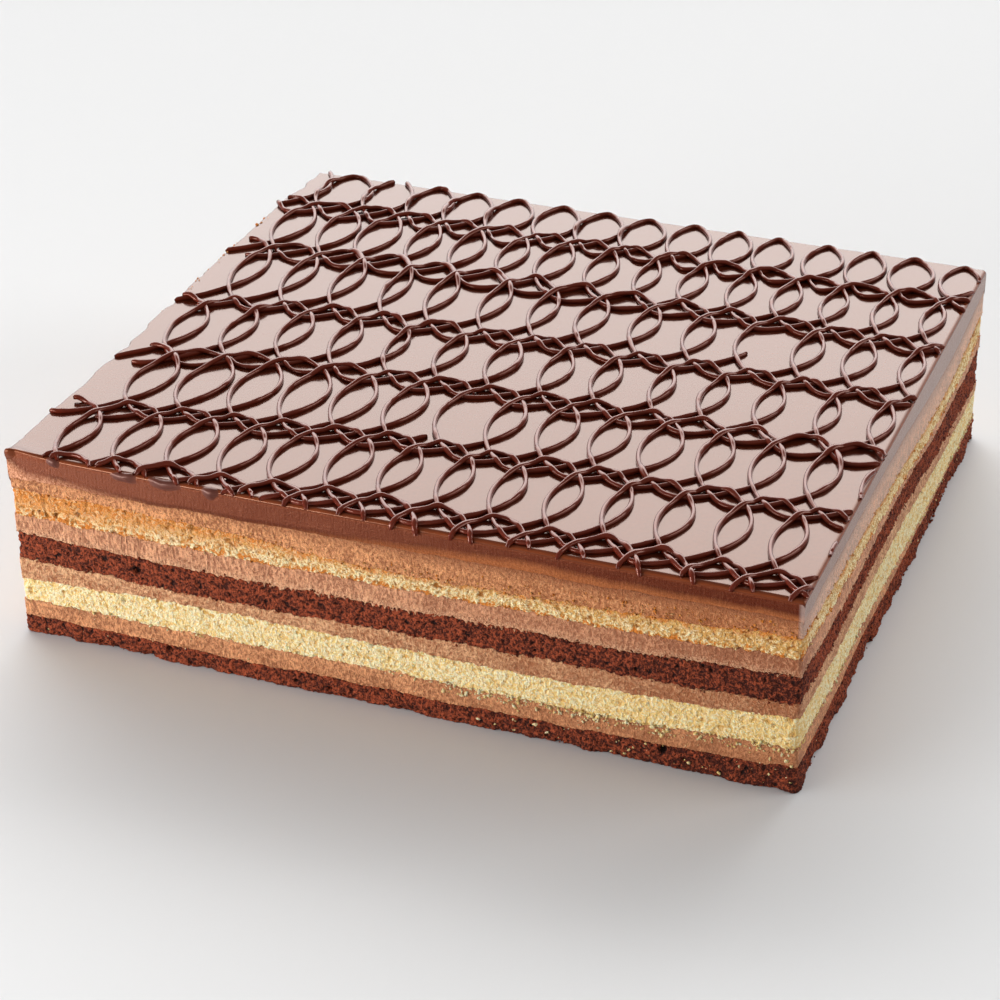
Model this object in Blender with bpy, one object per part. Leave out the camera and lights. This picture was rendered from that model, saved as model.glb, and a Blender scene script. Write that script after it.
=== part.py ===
"""Opera cake: four sheets of sponge and four layers of cream under a glaze, with rows of looped piping.

Metres, +Z up. The origin is the middle of the cake's underside, +X runs along the front and +Y to the back.
Every layer runs through the whole cake, and its upper and lower faces swell and sag as the cut sides show.
"""

from dataclasses import dataclass

import bpy
import numpy as np

MM = 0.001

# Driving dimensions of the cake
CAKE_WIDTH = 240 * MM
CAKE_DEPTH = 216 * MM
CAKE_HEIGHT = 62 * MM
PIECE_GAP = 0.3 * MM

# Each layer is a grid of this many cells along the width and the depth
CELLS_ACROSS = 9
CELLS_DEEP = 8

# The side's swells and sags keep this share of their size at the opposite side
FAR_SIDE_SHARE = 0.3

# The glaze rolls over the cut edge with this radius, in this many facets
RIM_RADIUS = 2.4 * MM
RIM_FACETS = 3

# Piping: rows of loops laid from left to right, one row behind the other
ROW_COUNT = 7
ROW_PITCH = 34.0 * MM
LOOP_PITCH = 16.5 * MM
STRAND_WIDTH = 1.9 * MM
STRAND_HEIGHT = 1.5 * MM
STRAND_EDGE_MARGIN = 1.4 * MM
LOOP_SAMPLES = 12
# A strand climbs over itself this many degrees past a loop's back, where it lay as far before the back
CROSSING_TURN = 141


@dataclass(frozen=True)
class Finish:
    """The look of a piece: linear colour, roughness and the weight of its clear coat."""

    color: tuple
    roughness: float
    coat: float = 0.0


@dataclass(frozen=True)
class Layer:
    """A layer's name, its finish, and the heights of its upper face in mm.

    The heights stand at even stations, left to right along the front and front to back on the right side.
    """

    name: str
    finish: Finish
    front: tuple
    right: tuple


@dataclass(frozen=True)
class Loops:
    """One way of piping a row: half its depth, its sideways swing, and if the strand crosses itself.

    The swing is a share of the distance between loops.
    """

    half_depth: float
    swing: float
    crosses: bool


COCOA = Finish((0.070, 0.022, 0.012), 0.95)
VANILLA = Finish((0.780, 0.600, 0.260), 0.95)
BROWNED = Finish((0.720, 0.420, 0.130), 0.95)
CREAM = Finish((0.480, 0.230, 0.130), 0.60)
GLAZE = Finish((0.150, 0.045, 0.026), 0.16, coat=0.6)
PIPING = Finish((0.060, 0.016, 0.010), 0.22, coat=0.5)

LAYERS = (
    Layer("sponge_cocoa_base", COCOA, (5.5, 5.4, 5.2, 5.8, 7.6), (7.6, 7.8, 7.8, 7.4, 6.8)),
    Layer("cream_1", CREAM, (11.8, 11.8, 12.4, 12.4, 14.8), (14.8, 12.6, 11.2, 9.2, 8.8)),
    Layer("sponge_vanilla_lower", VANILLA, (18.6, 20.6, 20.6, 20.8, 23.6), (23.6, 21.4, 22.2, 19.0, 17.8)),
    Layer("cream_2", CREAM, (26.0, 25.2, 26.4, 27.5, 28.8), (28.8, 27.5, 28.4, 23.8, 21.2)),
    Layer("sponge_cocoa_upper", COCOA, (34.6, 33.3, 34.6, 35.3, 37.6), (37.6, 35.0, 36.2, 33.4, 34.4)),
    Layer("cream_3", CREAM, (41.0, 40.5, 41.3, 42.0, 43.6), (43.6, 40.8, 38.4, 36.2, 38.2)),
    Layer("sponge_vanilla_upper", BROWNED, (49.4, 48.6, 45.8, 47.2, 50.0), (50.0, 47.0, 44.2, 42.2, 46.6)),
    Layer("cream_4", CREAM, (53.4, 53.4, 54.4, 55.0, 55.8), (55.8, 55.5, 55.0, 51.8, 54.8)),
)

FULL_LOOPS = Loops(half_depth=16.2 * MM, swing=0.62, crosses=True)
EDGE_WAVES = Loops(half_depth=4.6 * MM, swing=0.10, crosses=False)


def clear_scene():
    """Remove whatever objects the scene starts with."""
    for item in list(bpy.data.objects):
        bpy.data.objects.remove(item, do_unlink=True)


def make_material(name, finish):
    """A Principled BSDF with a finish's colour, roughness and coat."""
    material = bpy.data.materials.new(name)
    material.use_nodes = True
    shader = material.node_tree.nodes["Principled BSDF"]
    shader.inputs["Base Color"].default_value = (*finish.color, 1.0)
    shader.inputs["Roughness"].default_value = finish.roughness
    shader.inputs["Metallic"].default_value = 0.0
    shader.inputs["Coat Weight"].default_value = finish.coat
    return material


def add_piece(name, vertices, faces, material):
    """Link a mesh of these vertices and faces into the scene as one named piece."""
    mesh = bpy.data.meshes.new(name)
    mesh.from_pydata([tuple(point) for point in vertices], [], faces)
    mesh.validate()
    mesh.materials.append(material)
    piece = bpy.data.objects.new(name, mesh)
    bpy.context.scene.collection.objects.link(piece)
    return piece


def through_stations(heights, place):
    """A smooth curve through evenly spaced heights, read at places from 0 to 1 (Catmull-Rom spans)."""
    heights = np.array(heights, float)
    before = 2 * heights[0] - heights[1]
    after = 2 * heights[-1] - heights[-2]
    padded = np.concatenate([[before], heights, [after]])
    along = np.clip(place, 0, 1) * (len(heights) - 1)
    span = np.minimum(along.astype(int), len(heights) - 2)
    t = along - span
    p0, p1, p2, p3 = (padded[span + step] for step in range(4))
    slope = p2 - p0
    bend = 2 * p0 - 5 * p1 + 4 * p2 - p3
    twist = 3 * p1 - p0 - 3 * p2 + p3
    return 0.5 * (2 * p1 + slope * t + bend * t**2 + twist * t**3)


def upper_face(layer, x, y):
    """Height of a layer's upper face: its front curve, plus the right side's curve fading to the left."""
    across = x / CAKE_WIDTH + 0.5
    deep = y / CAKE_DEPTH + 0.5
    reach = FAR_SIDE_SHARE + (1 - FAR_SIDE_SHARE) * across**2
    from_corner = through_stations(layer.right, deep) - layer.right[0]
    return (through_stations(layer.front, across) + reach * from_corner) * MM


def layer_grid():
    """X and Y of the grid's points, row by row from the front left corner."""
    x_line = np.linspace(-CAKE_WIDTH / 2, CAKE_WIDTH / 2, CELLS_ACROSS + 1)
    y_line = np.linspace(-CAKE_DEPTH / 2, CAKE_DEPTH / 2, CELLS_DEEP + 1)
    x, y = np.meshgrid(x_line, y_line)
    return x.ravel(), y.ravel()


def grid_triangles(facing_up):
    """The grid's triangles, all cut along the same diagonal so that stacked faces nest."""
    columns = CELLS_ACROSS + 1
    triangles = []
    for row in range(CELLS_DEEP):
        for column in range(CELLS_ACROSS):
            a = row * columns + column
            b, c, d = a + 1, a + columns + 1, a + columns
            triangles += [(a, b, c), (a, c, d)] if facing_up else [(a, c, b), (a, d, c)]
    return triangles


def grid_border():
    """Indices of the grid's outer points, counter-clockwise from the front left corner."""
    columns = CELLS_ACROSS + 1
    last_row = CELLS_DEEP * columns
    front = list(range(0, CELLS_ACROSS))
    right = [row * columns + CELLS_ACROSS for row in range(CELLS_DEEP)]
    back = [last_row + column for column in range(CELLS_ACROSS, 0, -1)]
    left = [row * columns for row in range(CELLS_DEEP, 0, -1)]
    return front + right + back + left


def ring_of_quads(lower, upper):
    """Wall faces between two closed rings of point indices, facing outwards."""
    count = len(lower)
    return [(lower[i], lower[(i + 1) % count], upper[(i + 1) % count], upper[i]) for i in range(count)]


def make_layer(layer, below):
    """One sheet of sponge or cream between the upper face of the layer below it and its own."""
    x, y = layer_grid()
    border = grid_border()
    top = np.column_stack([x, y, upper_face(layer, x, y) - PIECE_GAP / 2])
    offset = len(x)
    if below is None:
        bottom = np.column_stack([x[border], y[border], np.zeros(len(border))])
        lower_ring = [offset + i for i in range(len(border))]
        bottom_faces = [tuple(reversed(lower_ring))]
    else:
        bottom = np.column_stack([x, y, upper_face(below, x, y) + PIECE_GAP / 2])
        lower_ring = [offset + i for i in border]
        bottom_faces = [tuple(offset + i for i in face) for face in grid_triangles(facing_up=False)]
    faces = grid_triangles(facing_up=True) + bottom_faces + ring_of_quads(lower_ring, border)
    return add_piece(layer.name, np.vstack([top, bottom]), faces, make_material(layer.name, layer.finish))


def make_glaze(below):
    """The glaze: it fills the top cream's hollows, stands level, and rolls over along the four edges."""
    x, y = layer_grid()
    border = grid_border()
    vertices = [np.column_stack([x, y, upper_face(below, x, y) + PIECE_GAP / 2])]
    faces = grid_triangles(facing_up=False)
    ring = list(border)
    total = len(x)
    for facet in range(RIM_FACETS + 1):
        turn = facet / RIM_FACETS * np.pi / 2
        inset = RIM_RADIUS * (1 - np.cos(turn))
        height = CAKE_HEIGHT - RIM_RADIUS * (1 - np.sin(turn))
        ring_x = x[border] * (1 - 2 * inset / CAKE_WIDTH)
        ring_y = y[border] * (1 - 2 * inset / CAKE_DEPTH)
        vertices.append(np.column_stack([ring_x, ring_y, np.full(len(border), height)]))
        upper_ring = [total + i for i in range(len(border))]
        faces += ring_of_quads(ring, upper_ring)
        ring = upper_ring
        total += len(border)
    faces.append(tuple(ring))
    return add_piece("glaze", np.vstack(vertices), faces, make_material("glaze", GLAZE))


def loop_path(loops, middle_y):
    """Points along one row of loops, and the lift of each point where the strand climbs over itself.

    A row is a point turning on an ellipse whose centre moves right at a steady pace:
    x = pitch * turns - swing * pitch * sin(turn), y = middle + half depth * cos(turn).
    """
    step = 360 // LOOP_SAMPLES
    first = CROSSING_TURN % step - int(CAKE_WIDTH / 2 / LOOP_PITCH) * 360
    degrees = np.arange(first, -first, step)
    turn = np.radians(degrees)
    x = LOOP_PITCH * (degrees / 360 - loops.swing * np.sin(turn))
    y = middle_y + loops.half_depth * np.cos(turn)
    outside = np.flatnonzero(np.abs(x) > CAKE_WIDTH / 2 - STRAND_EDGE_MARGIN)
    middle = len(x) // 2
    start = max(outside[outside < middle], default=-1) + 1
    stop = min(outside[outside > middle], default=len(x))
    x, y, degrees = x[start:stop], y[start:stop], degrees[start:stop]
    has_strand_below = degrees - 2 * CROSSING_TURN >= degrees[0]
    climbs = loops.crosses & (degrees % 360 == CROSSING_TURN) & has_strand_below
    return x, y, np.where(climbs, STRAND_HEIGHT + PIECE_GAP, 0.0)


def make_piping_row(number, loops, middle_y, material):
    """One row of piping: a ridge with a flat underside and a crest, carried along the row's loops."""
    x, y, lift = loop_path(loops, middle_y)
    along_x, along_y = np.gradient(x), np.gradient(y)
    length = np.hypot(along_x, along_y)
    side_x, side_y = -along_y / length, along_x / length
    base = CAKE_HEIGHT + PIECE_GAP + lift
    half = STRAND_WIDTH / 2
    left = np.column_stack([x + side_x * half, y + side_y * half, base])
    right = np.column_stack([x - side_x * half, y - side_y * half, base])
    crest = np.column_stack([x, y, base + STRAND_HEIGHT])
    vertices = np.stack([left, right, crest], axis=1).reshape(-1, 3)
    faces = [(0, 1, 2)]
    for ring in range(len(x) - 1):
        here, ahead = 3 * ring, 3 * ring + 3
        for corner in range(3):
            after = (corner + 1) % 3
            faces.append((here + after, here + corner, ahead + corner, ahead + after))
    end = 3 * (len(x) - 1)
    faces.append((end + 2, end + 1, end))
    return add_piece(f"piping_row_{number}", vertices, faces, material)


def make_piping():
    """All rows, from the back edge to the half-hidden row whose loops run off the front edge."""
    material = make_material("piping", PIPING)
    back_middle = CAKE_DEPTH / 2 - STRAND_EDGE_MARGIN - FULL_LOOPS.half_depth
    for number in range(1, ROW_COUNT):
        make_piping_row(number, FULL_LOOPS, back_middle - (number - 1) * ROW_PITCH, material)
    front_middle = STRAND_EDGE_MARGIN + EDGE_WAVES.half_depth - CAKE_DEPTH / 2
    make_piping_row(ROW_COUNT, EDGE_WAVES, front_middle, material)


def main():
    """Build the cake from the bottom up."""
    clear_scene()
    below = None
    for layer in LAYERS:
        make_layer(layer, below)
        below = layer
    make_glaze(below)
    make_piping()


main()
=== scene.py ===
"""Opera cake: crumb, cream, glaze, looped piping and stray crumbs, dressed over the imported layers.

Metres throughout, +X along the cake's front, +Y to its back, +Z up. Each layer's cut sides are worked out as
whole arrays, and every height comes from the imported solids.
"""
import functools
import itertools
import logging
import math
from collections.abc import Iterable, Iterator
from dataclasses import dataclass
from enum import Enum, IntEnum

import bmesh
import bpy
import numpy as np
from mathutils import Matrix, Vector


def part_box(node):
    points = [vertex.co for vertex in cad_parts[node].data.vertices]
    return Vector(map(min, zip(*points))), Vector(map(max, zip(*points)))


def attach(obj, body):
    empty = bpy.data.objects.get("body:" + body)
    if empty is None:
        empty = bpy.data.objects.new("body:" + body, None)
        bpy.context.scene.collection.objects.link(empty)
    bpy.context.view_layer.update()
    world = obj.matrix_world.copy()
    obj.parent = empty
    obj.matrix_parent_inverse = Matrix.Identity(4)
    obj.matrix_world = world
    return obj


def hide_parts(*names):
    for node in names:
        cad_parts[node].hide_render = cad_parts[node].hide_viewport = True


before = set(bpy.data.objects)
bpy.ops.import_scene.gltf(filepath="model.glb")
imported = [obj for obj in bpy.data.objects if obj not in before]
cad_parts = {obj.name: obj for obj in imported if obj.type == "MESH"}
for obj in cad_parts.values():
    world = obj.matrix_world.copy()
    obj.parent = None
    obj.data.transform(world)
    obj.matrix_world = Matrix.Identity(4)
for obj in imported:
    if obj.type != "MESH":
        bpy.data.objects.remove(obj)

LOG = logging.getLogger("opera_cake")
Array = np.ndarray
Color = tuple[float, float, float]
MM = 0.001
FULL_TURN = 2 * math.pi
HASH_AXES = np.array([0x8DA6B343, 0xD8163841, 0xCB1AB31F], np.uint32)
HASH_SEED = 0x9E3779B1
HASH_STEPS = ((15, 0x2C1B3C6D), (12, 0x297A2D39))
FRONT_EDGE = (-104 * MM, -96 * MM)
RIGHT_EDGE = (118.5 * MM, 119.5 * MM)
# Painted sheen colour for the cream on the cake's right side, standing in for its gloss.
PAINTED_CREAM_SHEEN = (0.850, 0.750, 0.680)
# Painted sheen colour for the glaze's cut side on the cake's right side, standing in for its gloss.
PAINTED_GLAZE_SHEEN = (0.600, 0.500, 0.450)
CREAM_FRINGE = (0.78, 0.48, 0.28)
COVER_GAP = 0.05 * MM
RIM_LINES = (0, 0.03, 0.10, 0.22, 0.38, 0.56, 0.77, 1.0, 1.35)


class Seed(IntEnum):
    """Which set of random numbers shapes what."""

    SEAM = 11
    SEAM_FINE = 12
    BULGE = 21
    BULGE_FINE = 22
    TEETH = 31
    TEETH_OFTEN = 32
    RIPPLE = 41
    RIPPLE_FINE = 42
    BITE = 43
    BITE_FINE = 44
    LOOP_X = 61
    LOOP_DEPTH = 62
    LOOP_SAG = 63
    LOOP_LENS = 64
    HANG = 65
    STRAND = 71
    STRAND_FINE = 72
    STRAND_BLOB = 73
    SWELLING = 75
    CRUMB = 91


# Repeatable noise on whole arrays

def lattice_hash(cells: Array, seed: int) -> Array:
    """Give each lattice cell a repeatable number from 0 to 1.

    Formula: the three whole-number coordinates times large odd numbers, folded together with the seed, and
    the result shifted and multiplied twice.

    Args:
        cells: whole-number coordinates, shape (..., 3).
        seed: picks one of many independent sets.

    Returns:
        Numbers from 0 to 1, one for each cell.
    """
    cells = cells.astype(np.int64).astype(np.uint32)
    mixed = cells * HASH_AXES
    value = mixed[..., 0] ^ mixed[..., 1] ^ mixed[..., 2] ^ np.uint32(seed * HASH_SEED % 2**32)
    for shift, factor in HASH_STEPS:
        value = (value ^ (value >> np.uint32(shift))) * np.uint32(factor)
    return (value ^ (value >> np.uint32(15))) / 2.0**32


def smooth_noise(points: Array, size: float | tuple, seed: int) -> Array:
    """Value noise: random numbers at lattice corners, blended by smooth steps in between.

    Args:
        points: positions in metres, shape (n, 3).
        size: lattice spacing in metres, one number or one for each axis.
        seed: picks the set of random numbers.

    Returns:
        Values from -1 to 1, shape (n,).
    """
    scaled = points / np.asarray(size)
    base = np.floor(scaled)
    part = scaled - base
    part = part * part * (3 - 2 * part)
    total = np.zeros(len(points))
    for corner in itertools.product((0, 1), repeat=3):
        step = np.array(corner)
        weight = np.prod(np.where(step, part, 1 - part), axis=1)
        total += weight * lattice_hash(base + step, seed)
    return 2 * total - 1


def fractal_noise(points: Array, size: float | tuple, seed: int, octaves: int = 3) -> Array:
    """Sum smooth noise over octaves, each half as large and half as strong as the one before."""
    total = np.zeros(len(points))
    for octave in range(octaves):
        total += smooth_noise(points, np.asarray(size) / 2**octave, seed + octave) / 2**octave
    return total


def near_cells(points: Array, size: float, seed: int) -> Iterator[tuple[Array, Array]]:
    """Each of the 27 lattice cells round the points, with the squared distance to a random place in it."""
    scaled = points / size
    base = np.floor(scaled)
    for offset in itertools.product((-1, 0, 1), repeat=3):
        cell = base + np.array(offset)
        place = np.stack([lattice_hash(cell, seed + axis) for axis in range(3)], axis=1)
        yield cell, ((cell + place - scaled) ** 2).sum(1)


def packed_grains(points: Array, size: float, seed: int) -> Array:
    """Height of packed round grains: 1 at the middle of a grain, falling to about 0 in the gaps between.

    Formula: each cell of a lattice holds one grain at a random place, and the height is 1 - (distance to the
    nearest grain's middle / spacing)^2.

    Args:
        points: positions in metres, shape (n, 3).
        size: lattice spacing in metres.
        seed: picks the places.

    Returns:
        Heights, shape (n,).
    """
    square = np.full(len(points), 4.0)
    for _, apart in near_cells(points, size, seed):
        square = np.minimum(square, apart)
    return 1 - square


def scattered_pits(points: Array, size: float, share: float, smallest: float, seed: int) -> Array:
    """Round pits, one at a random place in some cells of a lattice.

    Formula: depth is the largest, over nearby pits, of radius / size times the square root of
    1 - (distance / radius)^2.

    Args:
        points: positions in metres, shape (n, 3).
        size: lattice spacing in metres; the largest pit's radius is half of it.
        share: share of the cells that hold a pit.
        smallest: the smallest pit's radius, as a share of the largest.
        seed: picks the pits.

    Returns:
        Depth of the pits from 0 to 0.5, shape (n,).
    """
    depth = np.zeros(len(points))
    for cell, apart in near_cells(points, size, seed):
        radius = 0.5 * (smallest + (1 - smallest) * lattice_hash(cell, seed + 3) ** 2)
        held = lattice_hash(cell, seed + 4) < share
        bowl = radius * np.sqrt(np.clip(1 - (np.sqrt(apart) / radius) ** 2, 0, 1))
        depth = np.maximum(depth, np.where(held, bowl, 0.0))
    return depth


def bulge(points: Array) -> Array:
    """How far the cake's sides stand out or in where they aren't quite flat, in metres."""
    broad, fine = smooth_noise(points, 38 * MM, Seed.BULGE), smooth_noise(points, 9 * MM, Seed.BULGE_FINE)
    return 0.35 * MM * broad + 0.12 * MM * fine


# Meshes from arrays

def with_third(flat: Array, third: float = 0.0) -> Array:
    """Places in plan, all with the same third coordinate, shape (n, 3)."""
    return np.column_stack([flat, np.full(len(flat), third)])


def stand_over(flat: Array, heights: Array) -> Array:
    """Points over the same places in plan at each row of heights, shape (rows, places, 3)."""
    return np.dstack([np.broadcast_to(flat[:, axis], heights.shape) for axis in (0, 1)] + [heights])


def ring_faces(first: Array, second: Array) -> Array:
    """Quads between two closed rings of point indices, facing outwards when second lies above first."""
    return np.stack([first, np.roll(first, -1), np.roll(second, -1), second], axis=1)


def grid_faces(grid: Array) -> Array:
    """Quads over a grid of point indices, facing up where its rows run along +X and follow along +Y."""
    return np.stack([grid[:-1, :-1], grid[:-1, 1:], grid[1:, 1:], grid[1:, :-1]], axis=-1).reshape(-1, 4)


def grid_border(grid: Array) -> Array:
    """Point indices round a grid, counter-clockwise from its first corner."""
    return np.concatenate([grid[0, :-1], grid[:-1, -1], grid[-1, :0:-1], grid[:0:-1, 0]])


def join_parts(parts: Iterable[tuple[Array, list]]) -> tuple[Array, list]:
    """Join shapes, each of vertices and blocks of faces, into one of the same kind."""
    blocks, faces, total = [], [], 0
    for vertices, bands in parts:
        blocks.append(vertices)
        faces += [band + total for band in bands]
        total += len(vertices)
    return np.concatenate(blocks), faces


def put_in_scene(name: str, data: bpy.types.ID) -> bpy.types.Object:
    """Make an object from its data, at the origin."""
    item = bpy.data.objects.new(name, data)
    bpy.context.scene.collection.objects.link(item)
    return item


def make_piece(name: str, vertices: Array, faces: list, attributes: dict | None = None) -> bpy.types.Object:
    """Put arrays into a smooth mesh object that sits at the origin.

    Args:
        name: the piece's name.
        vertices: positions in metres, shape (n, 3).
        faces: index arrays, each of shape (faces, corners).
        attributes: one number per vertex under each name, for the material to read.

    Returns:
        The new object, linked into the scene.
    """
    mesh = bpy.data.meshes.new(name)
    corners = np.concatenate([block.ravel() for block in faces]).astype(np.int32)
    sizes = np.concatenate([np.full(len(block), block.shape[1]) for block in faces])
    mesh.vertices.add(len(vertices))
    mesh.vertices.foreach_set("co", vertices.astype(np.float32).ravel())
    mesh.loops.add(len(corners))
    mesh.loops.foreach_set("vertex_index", corners)
    mesh.polygons.add(len(sizes))
    mesh.polygons.foreach_set("loop_start", (np.cumsum(sizes) - sizes).astype(np.int32))
    mesh.update(calc_edges=True)
    mesh.shade_smooth()
    for label, values in (attributes or {}).items():
        layer = mesh.attributes.new(label, "FLOAT", "POINT")
        layer.data.foreach_set("value", np.asarray(values, np.float32))
    return put_in_scene(name, mesh)


def dress(
    piece: bpy.types.Object, material: bpy.types.Material, slot_name: str, *replaced: str,
) -> bpy.types.Object:
    """Give a piece its material and its body, and hide the solids that it stands for."""
    piece.data.materials.append(material)
    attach(piece, "root")
    if replaced:
        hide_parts(*replaced)
    return piece


def add_finish(piece: bpy.types.Object, material: bpy.types.Material, chosen: Array) -> None:
    """Give the chosen faces of a piece a second material."""
    piece.data.materials.append(material)
    piece.data.polygons.foreach_set("material_index", chosen.astype(np.int32))


# Finishes

class NodeBoard:
    """The node tree of a material or world, with short calls to add nodes and join their sockets."""

    def __init__(self, owner: bpy.types.Material | bpy.types.World) -> None:
        """Start on the owner's nodes, as Blender lays them out."""
        owner.use_nodes = True
        self.owner = owner
        self.tree = owner.node_tree

    def add(self, kind: str, settings: dict | None = None, inputs: dict | None = None) -> bpy.types.Node:
        """Add a node.

        Args:
            kind: Blender's type name for the node.
            settings: attributes to set on it.
            inputs: value or source socket for each named or numbered input.

        Returns:
            The node.
        """
        node = self.tree.nodes.new(kind)
        for key, value in (settings or {}).items():
            setattr(node, key, value)
        for key, value in (inputs or {}).items():
            self.feed(node.inputs[key], value)
        return node

    def feed(self, socket: bpy.types.NodeSocket, value: object) -> None:
        """Link a source socket into an input, or set the input's own value."""
        if isinstance(value, bpy.types.NodeSocket):
            self.tree.links.new(value, socket)
        else:
            socket.default_value = value

    def place(self) -> bpy.types.NodeSocket:
        """Object coordinates, in metres."""
        return self.add("ShaderNodeTexCoord").outputs["Object"]

    def along(self, axis: int) -> bpy.types.NodeSocket:
        """One of the object coordinates, in metres."""
        return self.add("ShaderNodeSeparateXYZ", inputs={0: self.place()}).outputs[axis]

    def stretched(self, scale: tuple) -> bpy.types.NodeSocket:
        """Object coordinates scaled along each axis."""
        node = self.add("ShaderNodeMapping", inputs={"Vector": self.place(), "Scale": scale})
        return node.outputs["Vector"]

    def noise(self, size: float, detail: float = 3.0, rough: float = 0.55, where=None):
        """Noise with features of about the given size in metres, from 0 to 1."""
        inputs = {"Vector": where or self.place(), "Scale": 1 / size, "Detail": detail, "Roughness": rough}
        return self.add("ShaderNodeTexNoise", inputs=inputs).outputs["Fac"]

    def streaks(self, width: float, height: float) -> bpy.types.NodeSocket:
        """Noise drawn out upright, with features of the given width and height in metres."""
        return self.noise(1.0, where=self.stretched((1 / width, 1 / width, 1 / height)))

    def attribute(self, name: str) -> bpy.types.NodeSocket:
        """The mesh's own numbers of that name."""
        return self.add("ShaderNodeAttribute", {"attribute_name": name}).outputs["Fac"]

    def span(self, value, low: float, high: float, to_low=0.0, to_high=1.0, smooth: bool = False):
        """Stretch the span low to high into to_low to to_high, and hold it there."""
        settings = {"interpolation_type": "SMOOTHSTEP" if smooth else "LINEAR"}
        inputs = {"Value": value, "From Min": low, "From Max": high, "To Min": to_low, "To Max": to_high}
        return self.add("ShaderNodeMapRange", settings, inputs).outputs["Result"]

    def on_front(self, behind: float = 0.0) -> bpy.types.NodeSocket:
        """1 on the cake's front, falling to another amount behind it."""
        return self.span(self.along(1), *FRONT_EDGE, 1.0, behind)

    def on_right(self, amount: float) -> bpy.types.NodeSocket:
        """An amount on the cake's right side, and 0 elsewhere."""
        return self.span(self.along(0), *RIGHT_EDGE, 0.0, amount)

    def math(self, operation: str, first, second=0.0) -> bpy.types.NodeSocket:
        """One step of arithmetic."""
        return self.add("ShaderNodeMath", {"operation": operation}, {0: first, 1: second}).outputs[0]

    def product(self, *sources) -> bpy.types.NodeSocket:
        """Product of sources."""
        return functools.reduce(lambda first, second: self.math("MULTIPLY", first, second), sources)

    def total(self, *terms: tuple) -> bpy.types.NodeSocket:
        """Sum of sources, each times its own weight."""
        parts = [self.math("MULTIPLY", source, weight) for source, weight in terms]
        return functools.reduce(lambda first, second: self.math("ADD", first, second), parts)

    def blend(self, amount, first, second) -> bpy.types.NodeSocket:
        """Mix two colours by an amount from 0 to 1."""
        node = self.add("ShaderNodeMix", {"data_type": "RGBA"})
        self.feed(node.inputs["Factor"], amount)
        for socket, value in ((node.inputs[6], first), (node.inputs[7], second)):
            self.feed(socket, (*value, 1.0) if isinstance(value, tuple) else value)
        return node.outputs[2]

    def bump(self, height, distance: float, strength: float = 1.0, normal=None) -> bpy.types.NodeSocket:
        """Turn a height from 0 to 1 into a tilt of the surface, distance metres deep."""
        inputs = {"Height": height, "Distance": distance, "Strength": strength}
        if normal is not None:
            inputs["Normal"] = normal
        return self.add("ShaderNodeBump", inputs=inputs).outputs["Normal"]

    def finish(self, color, roughness, normal=None, **values: float) -> bpy.types.Material:
        """Join up the shader.

        Args:
            color: colour or source socket.
            roughness: number or source socket.
            normal: source socket of the bumped normal.
            values: the shader's other inputs, with spaces written as underscores.

        Returns:
            The material.
        """
        shader = self.tree.nodes["Principled BSDF"]
        self.feed(shader.inputs["Base Color"], (*color, 1.0) if isinstance(color, tuple) else color)
        self.feed(shader.inputs["Roughness"], roughness)
        if normal is not None:
            self.feed(shader.inputs["Normal"], normal)
        for key, value in values.items():
            self.feed(shader.inputs[key.replace("_", " ")], value)
        return self.owner


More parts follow.
